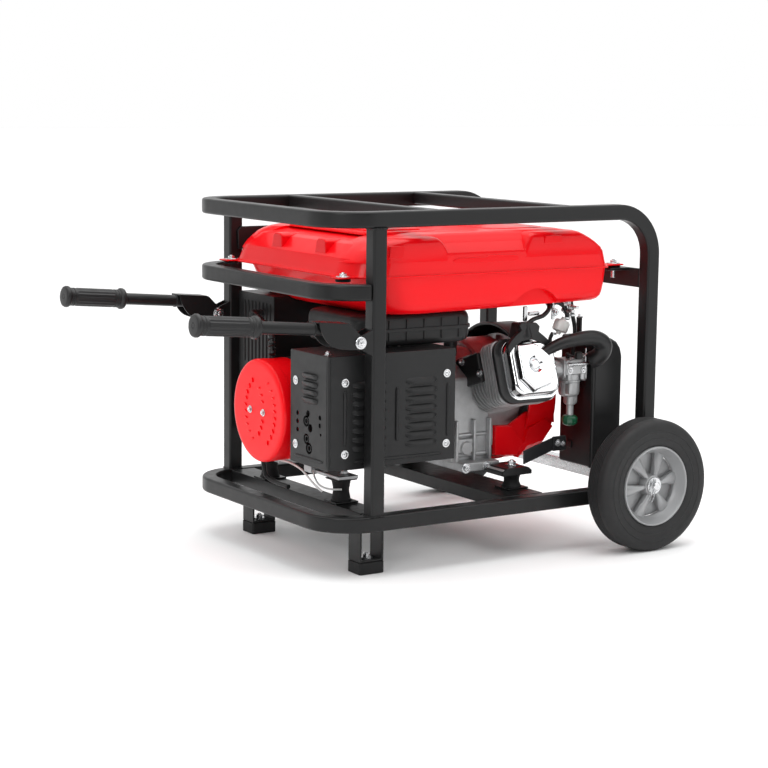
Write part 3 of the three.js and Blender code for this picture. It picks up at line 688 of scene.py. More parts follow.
def make_wheel(name, side):
    def at_wheel(part):
        # Depth behind the face runs towards the machine.
        placed(part, moved(WHEEL_X, side * WHEEL_FACE, WHEEL_Z) @ Matrix.Scale(-side, 4, (0, 1, 0)))
        bmesh.ops.recalc_face_normals(part, faces=part.faces)
        return part

    show(f"tyre_rubber_{name}", Build(at_wheel(lathe(wheel_profile(), "y", steps=128))),
         replaces=(f"tyre_{name}",))

    band = [(75.7, 5.5), (75.0, 3.4), (73.6, 2.7), (72.2, 3.0), (71.2, 4.6), (70.0, 7.5), (65.5, 18),
            (61.5, 23.5), (60.4, 25), (60.4, 29), (64, 30), (71, 50), (73, 54.5), (75.7, 55)]
    rim = Build(at_wheel(lathe(band, "y", steps=96)))
    web = [(8.6, 30), (61, 33), (61, 37), (8.6, 34)]
    rim.add(at_wheel(lathe(web, "y", steps=64)))
    hub = [(8.6, 11), (17.5, 11), (19.0, 12.4), (20.5, 24), (22, 34), (22, 55), (20, 56.5), (8.6, 56.5)]
    rim.add(at_wheel(lathe(hub, "y", steps=48)))
    for i in range(6):
        rows = []
        stations = 9
        across = 8
        for s in range(stations + 1):
            t = s / stations
            radius = 15 + 47.5 * t
            half = 3.6 + 9.6 * t ** 1.25
            front = 13.5 + 7.5 * t ** 1.5
            row = []
            for k in range(across + 1):
                u = -1 + 2 * k / across
                crown = 4.2 * abs(u) ** 3
                row.append((radius, front + crown, half * u))
            row += [(radius, front + 13, half * 0.92), (radius, front + 13, -half * 0.92)]
            rows.append(row)
        rim.add(at_wheel(placed(loft(rows), turned(-(SPOKE_TURN + 60 * i), "Y"))))
    show(f"rim_casting_{name}", rim, replaces=(f"rim_{name}",))

    washer = [(8.2, 8.2), (15.2, 8.2), (15.8, 8.8), (15.8, 10.2), (8.2, 10.2)]
    show(f"hub_washer_{name}", Build(at_wheel(lathe(washer, "y", steps=40))), "zinc_steel")
    pin = [(0, 5.5, 11), (0, 5.5, -2), (-1.5, 5.4, -12), (-6, 5.0, -24), (-9.5, 4.6, -30)]
    bow = [(0, 5.5, 11), (-3, 5.5, 14), (-6.5, 5.5, 11), (-9.3, 5.5, 4), (-10.2, 5.5, -6), (-12.5, 5.0, -20),
           (-16, 4.6, -27)]
    clip = Build(*[at_wheel(cable(line, 1.1, 8, 6)) for line in (pin, bow)])
    show(f"hairpin_{name}", clip, "zinc_steel")


def make_wheels():
    for name, side in SIDES.items():
        make_wheel(name, side)
    axle = Build(block((WHEEL_X - 12.5, -272, 113.1), (WHEEL_X + 12.5, 272, 137.4), 2))
    axle.add(rod(8, -WHEEL_FACE, WHEEL_FACE, "y", (WHEEL_X, 0, WHEEL_Z), 40, 1.4))
    show("axle_bar", axle, replaces=("axle",))


# ---------------------------------------------------------------- handles


def make_handles():
    for name, side in SIDES.items():
        place = moved(PIVOT[0], side * RAIL_Y, PIVOT[1]) @ turned(HANDLE_TILT, "Y")
        tube = lathe([(0, -313), (9.6, -313), (10.8, -311.8), (11, -310), (11, -29), (10.5, -28), (0, -28)],
                     "x", (0, 0, 20), 40)
        cheek = [(p.x, p.z) for p in arc((0, 0, 0), 12.5, -90, 90, "xz", 10)]
        cheek += [(-22, 31), (-27, 33), (-87, 33)]
        cheek += [(p.x, p.y)
                  for p in smooth([(-87, 33, 0), (-83, 22, 0), (-75, 8, 0), (-62, -5, 0), (-44, -11.5, 0),
                                   (-21, -12.8, 0)], 4)[1:]]
        arm = Build()
        parts = [tube] + [prism(cheek, "xz", low, low + 2.5, 0.7) for low in (-17, 14.5)]
        parts.append(block((-86.5, -16.5, 30.4), (-26, 16.5, 33), 0.8))
        parts.append(bead([p + v(-87.5, 0, 20) for p in arc((0, 0, 0), 11.2, 0, 360, "yz", 40)[:-1]], 1.3,
                          0.25))
        arm.add(*parts, place=place)
        show(f"handle_tube_{name}", arm, replaces=(f"handle_arm_{name}",))

        grip = [(0, -318.8), (4, -318.8), (4.6, -317.6), (5.2, -318.8), (16.2, -319), (18.6, -317.6),
                (19.9, -315), (19.9, -311), (18.4, -308.6), (17, -307.4), (17, -304), (16.1, -303.2),
                (16.1, -301.4), (17, -300.6), (17, -298.2), (16.1, -297.4), (16.1, -295.8), (16.6, -295),
                (16.2, -293), (16.2, -222), (16.6, -220), (16.1, -219.2), (16.1, -217.6), (17, -216.8),
                (17, -214.4), (16.1, -213.6), (16.1, -211.8), (17, -211), (17, -207.6), (18.4, -206.4),
                (19.9, -204), (19.9, -200), (18.6, -197.4), (16.8, -196), (11.2, -196), (11.2, -313.5),
                (0, -313.5)]
        sleeve = lathe(grip, "x", (0, 0, 20), 96, flutes=(16, 0.9, -293, -222))
        show(f"grip_sleeve_{name}", Build().add(sleeve, place=place), replaces=(f"handle_grip_{name}",))

        bolt = Build()
        shank = rod(5, -20, 20, "y", steps=24)
        ends = []
        for end in (-1, 1):
            ends.append(hex_bolt((0, end * 17.2, 0), (0, end, 0), 8.6, 4.2, 1.28, 20))
        bolt.add(shank, *ends, place=place)
        show(f"hinge_bolt_{name}", bolt, replaces=(f"handle_pivot_{name}",))


# ---------------------------------------------------------------- fuel tank

SEAM = 528.0
TANK_UPPER = [(528, -200, 366, 236), (529, -199.6, 366, 235.9), (560, -187.4, 360, 232.4),
              (561, -187, 359.6, 232), (566, -182, 355.6, 230.6), (568, -180, 354, 228.6),
              (577, -170.6, 343, 218), (583, -164.4, 332, 210.6), (584.4, -162.4, 329, 209),
              (588, -151, 320, 206), (590, -134, 315, 203), (595, -98, 303, 198), (599, -64, 295, 193),
              (601, -36, 286, 184)]
TANK_LOWER = [(465, -106, 342, 208), (466.4, -118, 350, 217), (470, -128, 355, 224), (476, -138, 359, 229),
              (486, -148, 361, 231.5), (500, -157, 363, 233), (527.7, -172, 365, 235)]
TANK_SAG = 8.0  # how much lower the bottom hangs at the handle end
LEFT_ROUND, RIGHT_ROUND = 70, 16
# Levels of the raised shoulders at both ends: (z, start, end, half width); their inner edge is SHOULDER_IN.
LEFT_SHOULDER = [(554, -190, 6, 233.2), (567, -180, 2, 232.4), (577, -168, -3, 231.6),
                 (585, -157, -8, 230.4), (590, -146, -12, 228.4), (594, -134, -16, 224.6),
                 (596.5, -122, -22, 217)]
RIGHT_SHOULDER = [(554, 166, 361, 233.2), (567, 170, 355, 232.4), (577, 175, 342, 231.6),
                  (585, 180, 329, 230.6), (592, 184, 316, 228.6), (596.5, 188, 307, 224.6),
                  (599, 196, 299, 217)]
SHOULDER_IN = 140
FILLER = (92, 20)
GAUGE = (-44, 20)
TANK_BOLTS = ((-204, 203), (408, 196))  # x and reach to either side


def corner_arc(x, y, radius, start, steps=8):
    return [(x + radius * math.cos(math.radians(start + 90 * i / steps)),
             y + radius * math.sin(math.radians(start + 90 * i / steps))) for i in range(steps + 1)]


def tank_ring(z, x0, x1, half, grow=0.0):
    points = corner_arc(x1 - RIGHT_ROUND, RIGHT_ROUND - half, RIGHT_ROUND + grow, -90)
    points += corner_arc(x1 - RIGHT_ROUND, half - RIGHT_ROUND, RIGHT_ROUND + grow, 0)
    points += corner_arc(x0 + LEFT_ROUND, half - LEFT_ROUND, LEFT_ROUND + grow, 90)
    points += corner_arc(x0 + LEFT_ROUND, LEFT_ROUND - half, LEFT_ROUND + grow, 180)
    return [(x, y, z) for x, y in points]


def shoulder(levels, side, left_round, right_round):
    """A raised block on one long edge of the tank, following the tank's round corner at its outer end."""
    rings = []
    for z, x0, x1, half in levels:
        points = corner_arc(x1 - right_round, right_round - half, right_round, -90)
        points += [(x1, -SHOULDER_IN), (x0, -SHOULDER_IN)]
        points += corner_arc(x0 + left_round, left_round - half, left_round, 180)
        rings.append([(x, -side * y, z) for x, y in points])
    return loft(rings)


def make_tank():
    upper = Build(loft([tank_ring(*level) for level in TANK_UPPER]))
    for side in (-1, 1):
        upper.add(shoulder(LEFT_SHOULDER, side, 64, 8), shoulder(RIGHT_SHOULDER, side, 8, 16))
        # A shallow step along the low panel between the shoulders, and flat pads at its ends.
        step = [(14, 548), (150, 548), (158, 554), (150, 560), (88, 562), (82, 558), (20, 558), (8, 554)]
        upper.add(prism(step, "xz", *sorted((side * 200, side * 234.4)), 1.4))
        upper.add(prism([(-128, 562), (-98, 562), (-94, 584), (-124, 584)], "xz",
                        *sorted((side * 200, side * 233.6)), 1.6),
                  prism([(214, 578), (258, 578), (256, 592), (216, 592)], "xz",
                        *sorted((side * 200, side * 232.4)), 1.6))
    for start in (-112, 44):
        raised = [(start, 548), (start + 44, 548), (start + 34, 586), (start + 28, 590.5),
                  (start + 8, 590.5), (start + 2, 586)]
        upper.add(prism(raised, "yz", -184, -110, 2.6, 3))
    # Pressings on the top, clear of the filler.
    upper.add(prism(rounded(-118, 40, -150, 150, 26), "xy", 596, 602, 1.8, 3))
    upper.add(prism(rounded(150, 282, -150, 150, 26), "xy", 596, 602, 1.8, 3))
    upper.add(prism(rounded(-96, 20, -120, -24, 14), "xy", 600, 604.5, 1.4, 3))
    for side in (-1, 1):
        y = side * 196
        upper.add(block((340, y - 16, SEAM + 0.2), (421, y + 16, SEAM + 3), 1.2))
        y = side * 203
        upper.add(block((-222, y - 16, SEAM + 0.2), (-150, y + 16, SEAM + 3), 1.2))
    flange = tank_ring(SEAM + 1.4, -200, 366, 236, 2.2)
    upper.add(sweep(flange, rounded(-1.5, 1.5, -2.6, 2.6, 1.0, 3), closed=True))
    upper.add(lathe([(26, 598), (44, 598), (42, 601.4), (36, 602.2), (26, 602.2)], "z", (*FILLER, 0), 64))
    show("tank_top", upper, replaces=("tank_upper_shell",))
    rings = []
    for level in TANK_LOWER:
        sag = TANK_SAG * (SEAM - level[0]) / (SEAM - TANK_LOWER[0][0])
        rings.append([(x, y, z - sag * (360 - x) / 480) for x, y, z in tank_ring(*level)])
    lower = Build(loft(rings))
    arch = Build()
    for side in (-1, 1):
        arch.add(lathe([(0, 0), (62, 0), (62, 60), (0, 60)], "y", (200, side * 224 - 30 + side * 24, 434),
                       48))
    lower.minus(arch)
    show("tank_bottom", lower, replaces=("tank_lower_shell",))

    cap = lathe([(0, 602.4), (34, 602.4), (37.4, 604), (37.4, 613), (36, 615.4), (33, 616.2), (14, 616.2),
                 (12, 615), (0, 615)], "z", (*FILLER, 0), 96, flutes=(24, 0.6, 604, 613))
    grip = block((64, 16, 612), (120, 24, 616.2), 1.4)
    show("filler_cap", Build(cap, grip), replaces=("fuel_cap",))
    gauge = lathe([(0, 598), (24, 598), (24, 603), (22, 605.5), (19.5, 605.5), (18.5, 603.6), (0, 603.6)],
                  "z", (*GAUGE, 0), 48)
    show("gauge_bezel", Build(gauge), "black_plastic")
    dial = Build(lathe([(0, 603.5), (18, 603.5), (18, 604.4), (0, 604.4)], "z", (*GAUGE, 0), 40))
    show("gauge_dial", dial, "black_plastic", finish=WHITE)
    needle = Build(prism([(-1.4, -3), (1.4, -3), (0.4, 14), (-0.4, 14)], "xy", 604.5, 605.1))
    needle.mesh.transform(moved(*GAUGE) @ turned(28, "Z"))
    show("gauge_needle", needle, "red_plastic")

    bolts, bushes = Build(), Build()
    for x, reach in TANK_BOLTS:
        for side in (-1, 1):
            bolts.add(hex_bolt((x, side * reach, 531.2), (0, 0, 1), 6.6, 4.4, 1.95, 15))
            bolts.add(rod(4, 504 if x > 0 else 524, 531, "z", (x, side * reach, 0), 20))
            low = 524.2 if x > 0 else 522.6
            bushes.add(lathe([(0, low), (13, low), (14, low + 1.4), (13, 526.4), (14, 527), (13, 527.9),
                              (0, 527.9)], "z", (x, side * reach, 0), 32))
    show("tank_bolts", bolts, "zinc_steel")
    show("tank_bushes", bushes, "mount_rubber")
    box = Build(prism([(-168, 546), (-78, 546), (-78, 590), (-162, 590), (-170, 582)], "xz", 238, 243, 1.6))
    show("charcoal_holder", box, "black_plastic")


# ---------------------------------------------------------------- vented box

BOX_X = (-250.5, 19.5)
BOX_Y = (102.3, 232.3)


def make_vent_box():
    holes = Build()
    end_x = BOX_X[0]
    for y, z, radius in ((-128, 284, 4.4), (-128, 269, 4.4), (-128, 254, 4.4), (-205, 285, 4.4),
                         (-205, 271, 4.4), (-208, 255, 2.8), (-158, 273, 10), (-159, 241, 9.5),
                         (-168, 225, 10.5), (-172, 262, 7.5), (-164, 287, 6)):
        holes.add(lathe([(0, -6), (radius, -6), (radius, 8), (0, 8)], "x", (end_x, y, z), 28))
    shell = Build(skin("vent_box", 1.6, 3)).minus(holes)
    for i in range(4):
        place = facing((-1, 0, 0), (end_x + 0.2, -171, 354 - 14.4 * i)) @ turned(90, "Z")
        shell.add(louvre(50, 12.5, 6.0), place=place)
    shell.add(rib(v(end_x, -120, 207), v(end_x, -216, 207), 2.8))
    front = -BOX_Y[1]
    for row in range(8):
        z = 342 - 16.1 * row
        for x, length in ((-165, 70), (-55, 66)):
            place = moved(x, front + 0.2, z) @ turned(90, "X")
            shell.add(louvre(length, 12, 6.0), place=place)
    for x in (-216, -107, 3):
        shell.add(rib(v(x, front, 334), v(x, front, 236), 3.4))
    shell.add(rib(v(-196, front, 206), v(-8, front, 206), 2.8))
    # Folded seam along the edge between the two faces.
    shell.add(rib(v(end_x + 5, front - 0.2, 196), v(end_x + 5, front - 0.2, 393), 1.0))
    shell.add(rib(v(end_x + 0.2, front + 5, 196), v(end_x + 0.2, front + 5, 393), 1.0))
    show("vent_box_shell", shell, replaces=("vent_box",))

    ring = Build()
    for y, z, radius in ((-158, 273, 6), (-159, 241, 6), (-168, 225, 6)):
        ring.add(lathe([(radius - 1.4, -1.4), (radius, -1.4), (radius, 1.4), (radius - 1.4, 1.4)], "x",
                       (end_x + 2, y, z), 28))
    show("vent_box_knockouts", ring, "box_steel")
    screws = Build()
    for z in (342, 227):
        screws.add(pan_screw((end_x - 0.2, -122, z), (-1, 0, 0), 4.8, 1.7))
    for x, z in ((-216, 348), (-216, 221), (0, 351), (0, 223)):
        screws.add(pan_screw((x, front - 0.2, z), (0, -1, 0), 5.2, 1.45, 20))
    for x in (-238, -60):
        screws.add(hex_bolt((x, -210 if x < -100 else -160, 396.2), (0, 0, 1), 5.2, 4.0, 1.4))
    show("vent_box_screws", screws, "zinc_steel")
    inside = Build(block((-240, -222, 204), (-4, -112, 388), 4))
    show("regulator_block", inside, "black_plastic")


# ---------------------------------------------------------------- control panel

PANEL_X = (-168.0, 60.0)
FACE_Y = 235.6


def outlet_pair(x, z):
    """A duplex outlet: its plate and two round-sided faces."""
    plate = prism(rounded(x - 24, x + 24, z - 38, z + 38, 5), "xz", FACE_Y, FACE_Y + 3, 1.0)
    faces = [prism(rounded(x - 15, x + 15, z + dz - 12, z + dz + 12, 8), "xz", FACE_Y + 2, FACE_Y + 6, 0.8)
             for dz in (-17, 17)]
    return [plate] + faces


def outlet_slots(x, z):
    """The blade slots and the round hole of both faces."""
    slots = Build()
    for dz in (-17, 17):
        for dx in (-6, 6):
            slots.add(block((x + dx - 1.2, FACE_Y + 3, z + dz - 2), (x + dx + 1.2, FACE_Y + 9, z + dz + 6)))
        slots.add(lathe([(0, 3), (2.6, 3), (2.6, 9), (0, 9)], "y", (x, FACE_Y, z + dz - 7), 16))
    return slots


def make_panel():
    box = Build(skin("panel_box", 1.6, 3))
    for i in range(8):
        y = 116 + 14 * i
        box.add(rib(v(PANEL_X[0], y, 330), v(PANEL_X[0], y, 452), 2.6))
        box.add(rib(v(PANEL_X[0], y, 210), v(PANEL_X[0], y, 318), 2.6))
    show("panel_case", box, replaces=("panel_box",))
    show_skin("panel_plate", "panel_face", 0.8)

    for i, (x, z) in enumerate(((-104, 318), (-44, 318))):
        show(f"outlet_{i}", Build(*outlet_pair(x, z)).minus(outlet_slots(x, z)), "black_plastic")
    twist = Build(lathe([(0, 0), (27, 0), (27, 3), (24, 5), (22, 7), (22, 10), (18, 10), (17, 6), (0, 6)],
                        "y", (22, FACE_Y, 318), 56))
    cuts = Build()
    for turn in (0, 120, 240):
        slot = prism(rounded(-1.5, 1.5, 8, 14, 1), "xz", FACE_Y + 2, FACE_Y + 12)
        cuts.add(slot, place=moved(22, 0, 318) @ turned(turn, "Y"))
    show("twist_outlet", twist.minus(cuts), "black_plastic")
    meter = Build(lathe([(0, 0), (25, 0), (25, 4), (23, 7), (20.5, 7), (19.5, 4.6), (0, 4.6)], "y",
                        (18, FACE_Y, 424), 56))
    show("meter_bezel", meter, "black_plastic")
    show("meter_dial", Build(rod(19.4, 4.4, 5.2, "y", (18, FACE_Y, 424), 48, 0.2)), "black_plastic",
         finish=WHITE)
    hand = prism([(-1, -4), (1, -4), (0.4, 15), (-0.4, 15)], "xz", FACE_Y + 5.3, FACE_Y + 5.9)
    show("meter_hand", Build(placed(hand, moved(18, 0, 418) @ turned(-24, "Y"))), "black_plastic")

    surround = Build(prism(rounded(-128, -96, 385, 423, 4), "xz", FACE_Y, FACE_Y + 2.2, 0.8))
    surround.minus(Build(block((-124, FACE_Y - 5, 389), (-100, FACE_Y + 9, 419))))
    show("switch_surround", surround, "black_plastic")
    show_skin("rocker", "engine_switch", 0.9, 3)
    collar = Build(lathe([(8.4, 0), (12.5, 0), (12.5, 2), (11.5, 3), (8.4, 3)], "y", (-40, FACE_Y, 404), 40))
    show("breaker_collar", collar, "zinc_steel")
    button = lathe([(0, -4), (7.5, -4), (7.5, 5.4), (6.6, 6.8), (0, 7.0)], "y", (-40, 232.6, 404), 40)
    show("breaker_cap", Build(button), replaces=("breaker_button",))
    posts = Build()
    for x in (-120, -84):
        posts.add(lathe([(0, 0), (9, 0), (9, 2), (7.5, 3), (7.5, 12), (6, 13.5), (0, 13.5)], "y",
                        (x, FACE_Y, 238), 40, flutes=(14, 0.5, 2.9, 12.1)))
    show("charging_posts", posts, "red_plastic")
    ground = Build(rod(3, 0, 16, "y", (30, FACE_Y, 238), 20),
                   hex_bolt((30, FACE_Y, 238), (0, 1, 0), 6.5, 5, 1.5))
    for turn in (0, 180):
        wing = prism(rounded(3, 15, -2, 9, 3), "xz", FACE_Y + 7, FACE_Y + 9.4, 0.7)
        ground.add(wing, place=moved(30, 0, 238) @ turned(turn, "Y"))
    show("ground_terminal", ground, "zinc_steel")
    lamp = Build(lathe([(0, 0), (6, 0), (6, 2), (4.6, 5), (0, 6.4)], "y", (-72, FACE_Y, 404), 32))
    show("pilot_lamp", lamp, "red_plastic", finish=GREEN)
    screws = Build()
    for x in (-160, 53):
        for z in (201, 330, 458):
            screws.add(pan_screw((x, FACE_Y, z), (0, 1, 0), 4.2, 1.4))
    screws.add(pan_screw((-168.2, 218, 400), (-1, 0, 0), 4.6, 1.5))
    show("panel_screws", screws, "zinc_steel")


# ---------------------------------------------------------------- alternator

CRANK_Z = 270.0
COVER_FACE_X = -259.5


def on_crank(degrees, x=0):
    """Takes a part made round the X axis to the crank's axis, turned about it."""
    return moved(x, 0, CRANK_Z) @ turned(degrees, "X")


def make_alternator():
    nose = COVER_FACE_X
    cover = Build(lathe([(0, nose), (84, nose), (89.5, nose + 0.5), (92.6, nose + 1.7), (94.6, nose + 3.8),
                         (95.4, nose + 6.6), (95.4, nose + 20), (94.6, nose + 21), (94.6, -200.5),
                         (90, -200.5), (90, nose + 12), (84, nose + 5), (0, nose + 5)], "x",
                        (0, 0, CRANK_Z), 128))
    for centre, radius, sign, spots in ((-24, 70, 1, range(-5, 5)), (46, 65, -1, (-3, -2, -1, 2, 3, 4)),
                                        (8, 70, -1, range(-5, 5))):
        for k in spots:
            dz = 12.1 * k + (6 if len(spots) == 10 else -6)
            y = centre + sign * math.sqrt(radius ** 2 - dz ** 2)
            lean = math.degrees(math.asin(dz / radius)) * sign
            place = facing((-1, 0, 0), (nose + 0.1, y, CRANK_Z + dz)) @ turned(90 - lean - 30, "Z")
            cover.add(louvre(9.0, 4.2, 2.6), place=place)
    show("end_cover", cover, replaces=("alternator_end_cover",))
    bolts = Build()
    for y in (28, -20):
        bolts.add(hex_bolt((nose - 0.1, y, 269), (-1, 0, 0), 5.0, 2.6, 1.35, 8))
    show("end_cover_bolts", bolts, "zinc_steel")

    slots = Build()
    for i in range(20):
        for start, end, lead in ((-176, -132, 9), (30, 70, 0)):
            slots.add(block((start, -3.5, 85), (end, 3.5, 100)), place=on_crank(18 * i + lead))
    body = [(74, -200), (92, -200), (95, -196), (95, -118), (92, -114), (92, 14), (95, 18), (95, 88),
            (92, 92), (74, 92)]
    show("alternator_body", Build(lathe(body, "x", (0, 0, CRANK_Z), 96)).minus(slots),
         replaces=("alternator_housing",))
    core = Build()
    for i in range(17):
        x = -108 + 7 * i
        core.add(lathe([(88, x), (94.4, x), (94.4, x + 5), (88, x + 5)], "x", (0, 0, CRANK_Z), 72))
    show("stator_core", core, "box_steel", finish=DARK)
    show_skin("rotor_body", "rotor_crankshaft", 0.8)
    stand = Build(skin("alternator_stand", 1.0))
    for y in (-140, 140, -96, 96):
        stand.add(hex_bolt((-159, y, 164.2), (0, 0, 1), 7 if abs(y) > 100 else 5, 6, 1.6))
    show("stand_casting", stand, replaces=("alternator_stand",), finish=FINISH["cast_aluminium"])


# ---------------------------------------------------------------- engine

CYLINDER_X = 198.0
CYLINDER_RISE = 19.0
CYLINDER = moved(CYLINDER_X, 0, CRANK_Z) @ turned(-CYLINDER_RISE, "X")
COVER_SHIFT = 8.5  # of the valve cover, off the cylinder's axis
BOSS = (-4.6, 4.8)  # its bolt, from its middle


def cylinder_slab(half_x, half_z, start, end, corner, width=0.0, shift=(0, 0)):
    """A slice across the cylinder, from start to end along its axis, which leaves the crank towards -Y."""
    outline = rounded(shift[0] - half_x, shift[0] + half_x, shift[1] - half_z, shift[1] + half_z, corner, 7)
    return placed(prism(outline, "xz", -end, -start, width), CYLINDER)


def make_engine():
    body = [(-116, 158), (112, 158), (112, 318), (76, 366), (-40, 366), (-116, 318)]
    block_build = Build(prism(body, "yz", 92.5, 182, 6, 3))
    block_build.add(rod(108, 180, 262, "x", (0, 0, CRANK_Z), 72, 4))
    block_build.add(block((98, -150, 145), (182, 150, 162), 2.5, 3))
    for side in (-1, 1):
        low, high = sorted((side * 145, side * 205))
        block_build.add(block((150, low, 145), (214, high, 154), 2.0))
    # Cover flange on the alternator side, its ribs and the boss over the oil drain.
    block_build.add(prism([(-110, 166), (106, 166), (106, 312), (72, 356), (-36, 356), (-110, 312)], "yz",
                          88, 94, 2))
    block_build.add(rib(v(94, -116, 172), v(180, -116, 172), 5), rib(v(96, -117, 210), v(180, -117, 210), 4))
    block_build.add(block((104, -124, 176), (150, -112, 204), 3, 3),
                    rod(13, -126, -112, "y", (122, 0, 186), 36, 1.5))
    for x in (100, 140, 176):
        block_build.add(block((x - 3, -128, 160), (x + 3, -112, 240), 2))
    block_build.add(cylinder_slab(46, 46, 60, 168, 42))
    for i in range(10):
        start = 76 + 9.4 * i
        block_build.add(cylinder_slab(61, 59, start, start + 2.6, 46, 0.6))
    show("crankcase", block_build, replaces=("engine_block",))

    head = Build(cylinder_slab(53, 53, 168.5, 213.6, 14, 2))
    for i in range(5):
        start = 172 + 8.2 * i
        head.add(cylinder_slab(65, 60, start, start + 3.2, 18, 0.7))
    show("head_casting", head, replaces=("cylinder_head",))
    gasket = Build(cylinder_slab(65, 62, 206, 214.8, 30, 2.5))
    show("shroud_ring", gasket, "black_plastic")

    shift = COVER_SHIFT
    cover = Build(cylinder_slab(58, 56.5, 214.6, 218.6, 24, 1.4, (shift, 0)))
    levels = [(218, 54.6, 53.2, 23), (220, 53.6, 52.2, 22.6), (226, 52.6, 51.2, 22.3), (232, 51.2, 49.8, 22),
              (235, 49, 47.6, 21), (236.4, 45.6, 44.4, 20)]
    rings = []
    for along, half_x, half_z, corner in levels:
        outline = rounded(shift - half_x, shift + half_x, -half_z, half_z, corner, 8)
        rings.append([CYLINDER @ v(x, -along, z) for x, z in outline])
    cover.add(loft(rings))
    plateau = [(-37, 44), (-3, 46), (9, 42), (35, 18), (44, -3), (24, -35), (-15, -45), (-40, -20),
               (-40, 28)]
    rings = []
    for along, share in ((234, 1.06), (238, 1.02), (242, 0.985), (244.4, 0.96), (245.8, 0.92)):
        rings.append([CYLINDER @ v(shift + x * share, -along, z * share) for x, z in plateau])
    # The bolt sits in a round dimple.
    face = Build(bevel(loft(rings), 2.2, 3, 24))
    dimple = lathe([(0, 0), (11, 0), (17, 5.5), (20, 12), (0, 12)], "y", (shift + BOSS[0], 0, BOSS[1]), 48)
    placed(dimple, CYLINDER @ moved(0, -241, 0) @ Matrix.Scale(-1, 4, (0, 1, 0)))
    bmesh.ops.recalc_face_normals(dimple, faces=dimple.faces)
    face.minus(Build(dimple))
    cover.add(face.mesh)
    show("valve_cover_shell", cover, replaces=("valve_cover",))
    boss = Build(lathe([(0, -245.4), (7.5, -245.4), (9.5, -243.8), (9.5, -240.5), (0, -240.5)], "y",
                       (shift + BOSS[0], 0, BOSS[1]), 40))
    boss.mesh.transform(CYLINDER)
    show("valve_cover_bolt", boss, "zinc_steel")

    # Black shroud over the fins on the alternator side, with its bolts.
    shroud = Build(block((127.6, -176, -26), (137, -66, 30), 3, 3),
                   block((130, -150, 24), (168, -72, 32), 3, 3))
    shroud.mesh.transform(moved(0, 12, 285) @ turned(-CYLINDER_RISE, "X"))
    show("fin_shroud", shroud, "black_plastic")
    bolts = Build()
    for y, z in ((-98, 347), (-157, 333)):
        bolts.add(hex_bolt((127.5, y, z), (-1, 0, 0), 5.6, 4, 1.4))
    for x, y, z in ((98, -150.2, 153), (146, -150.2, 153)):
        bolts.add(hex_bolt((x + 6, y, z), (0, -1, 0), 6.5, 4.4, 1.5))
    for side in (-1, 1):
        bolts.add(hex_bolt((190, side * 178, 156.5), (0, 0, 1), 8, 6, 1.6))
    for y, z in ((-104, 172), (-104, 306), (-34, 350), (66, 350), (100, 306), (100, 172)):
        bolts.add(hex_bolt((87.8, y, z), (-1, 0, 0), 5.2, 4, 1.3))
    show("engine_bolts", bolts, "zinc_steel")
    plug = lathe([(0, -10), (9, -10), (9, 0), (14, 0), (14, 3), (12.6, 5), (12.6, 10.5), (11.4, 12),
                  (0, 12)], "y", (0, 0, 0), 48, flutes=(12, 0.9, 4.9, 10.6))
    placed(plug, moved(122, -116.4, 186) @ turned(180, "X"))
    show("oil_filler_cap", Build(plug), replaces=("oil_cap",), finish=FINISH["cast_aluminium"])

    # Spark plug boot and its lead, rising from the head to the coil under the tank.
    boot = Build(lathe([(0, 0), (11, 0), (12, 4), (10, 12), (8, 20), (8, 30), (0, 30)], "z",
                       (196, -205, 400), 28))
    boot.add(cable([(196, -205, 424), (214, -203, 434), (240, -200, 440), (256, -196, 452), (262, -180, 462),
                    (262, -150, 462)], 4.2))
    show("plug_boot", boot, "hose_rubber")
    # A thin black arch that clips over the head, with its legs down both sides.
    crown = [(150, 386), (158, 398), (172, 410), (182, 416), (176, 426), (182, 431), (216, 429), (224, 422),
             (222, 412), (236, 402), (254, 388), (266, 376), (262, 368), (246, 380), (228, 391), (206, 398),
             (184, 396), (166, 386), (156, 374)]
    head_guard = Build(prism(crown, "xz", -212, -203, 1.8, 2))
    head_guard.add(prism([(174, 400), (228, 400), (222, 428), (182, 428)], "xz", -206, -178, 2.5, 2))
    show("head_guard", head_guard, "black_plastic")


RECOIL_X = 330.0  # back face of the recoil starter's rim


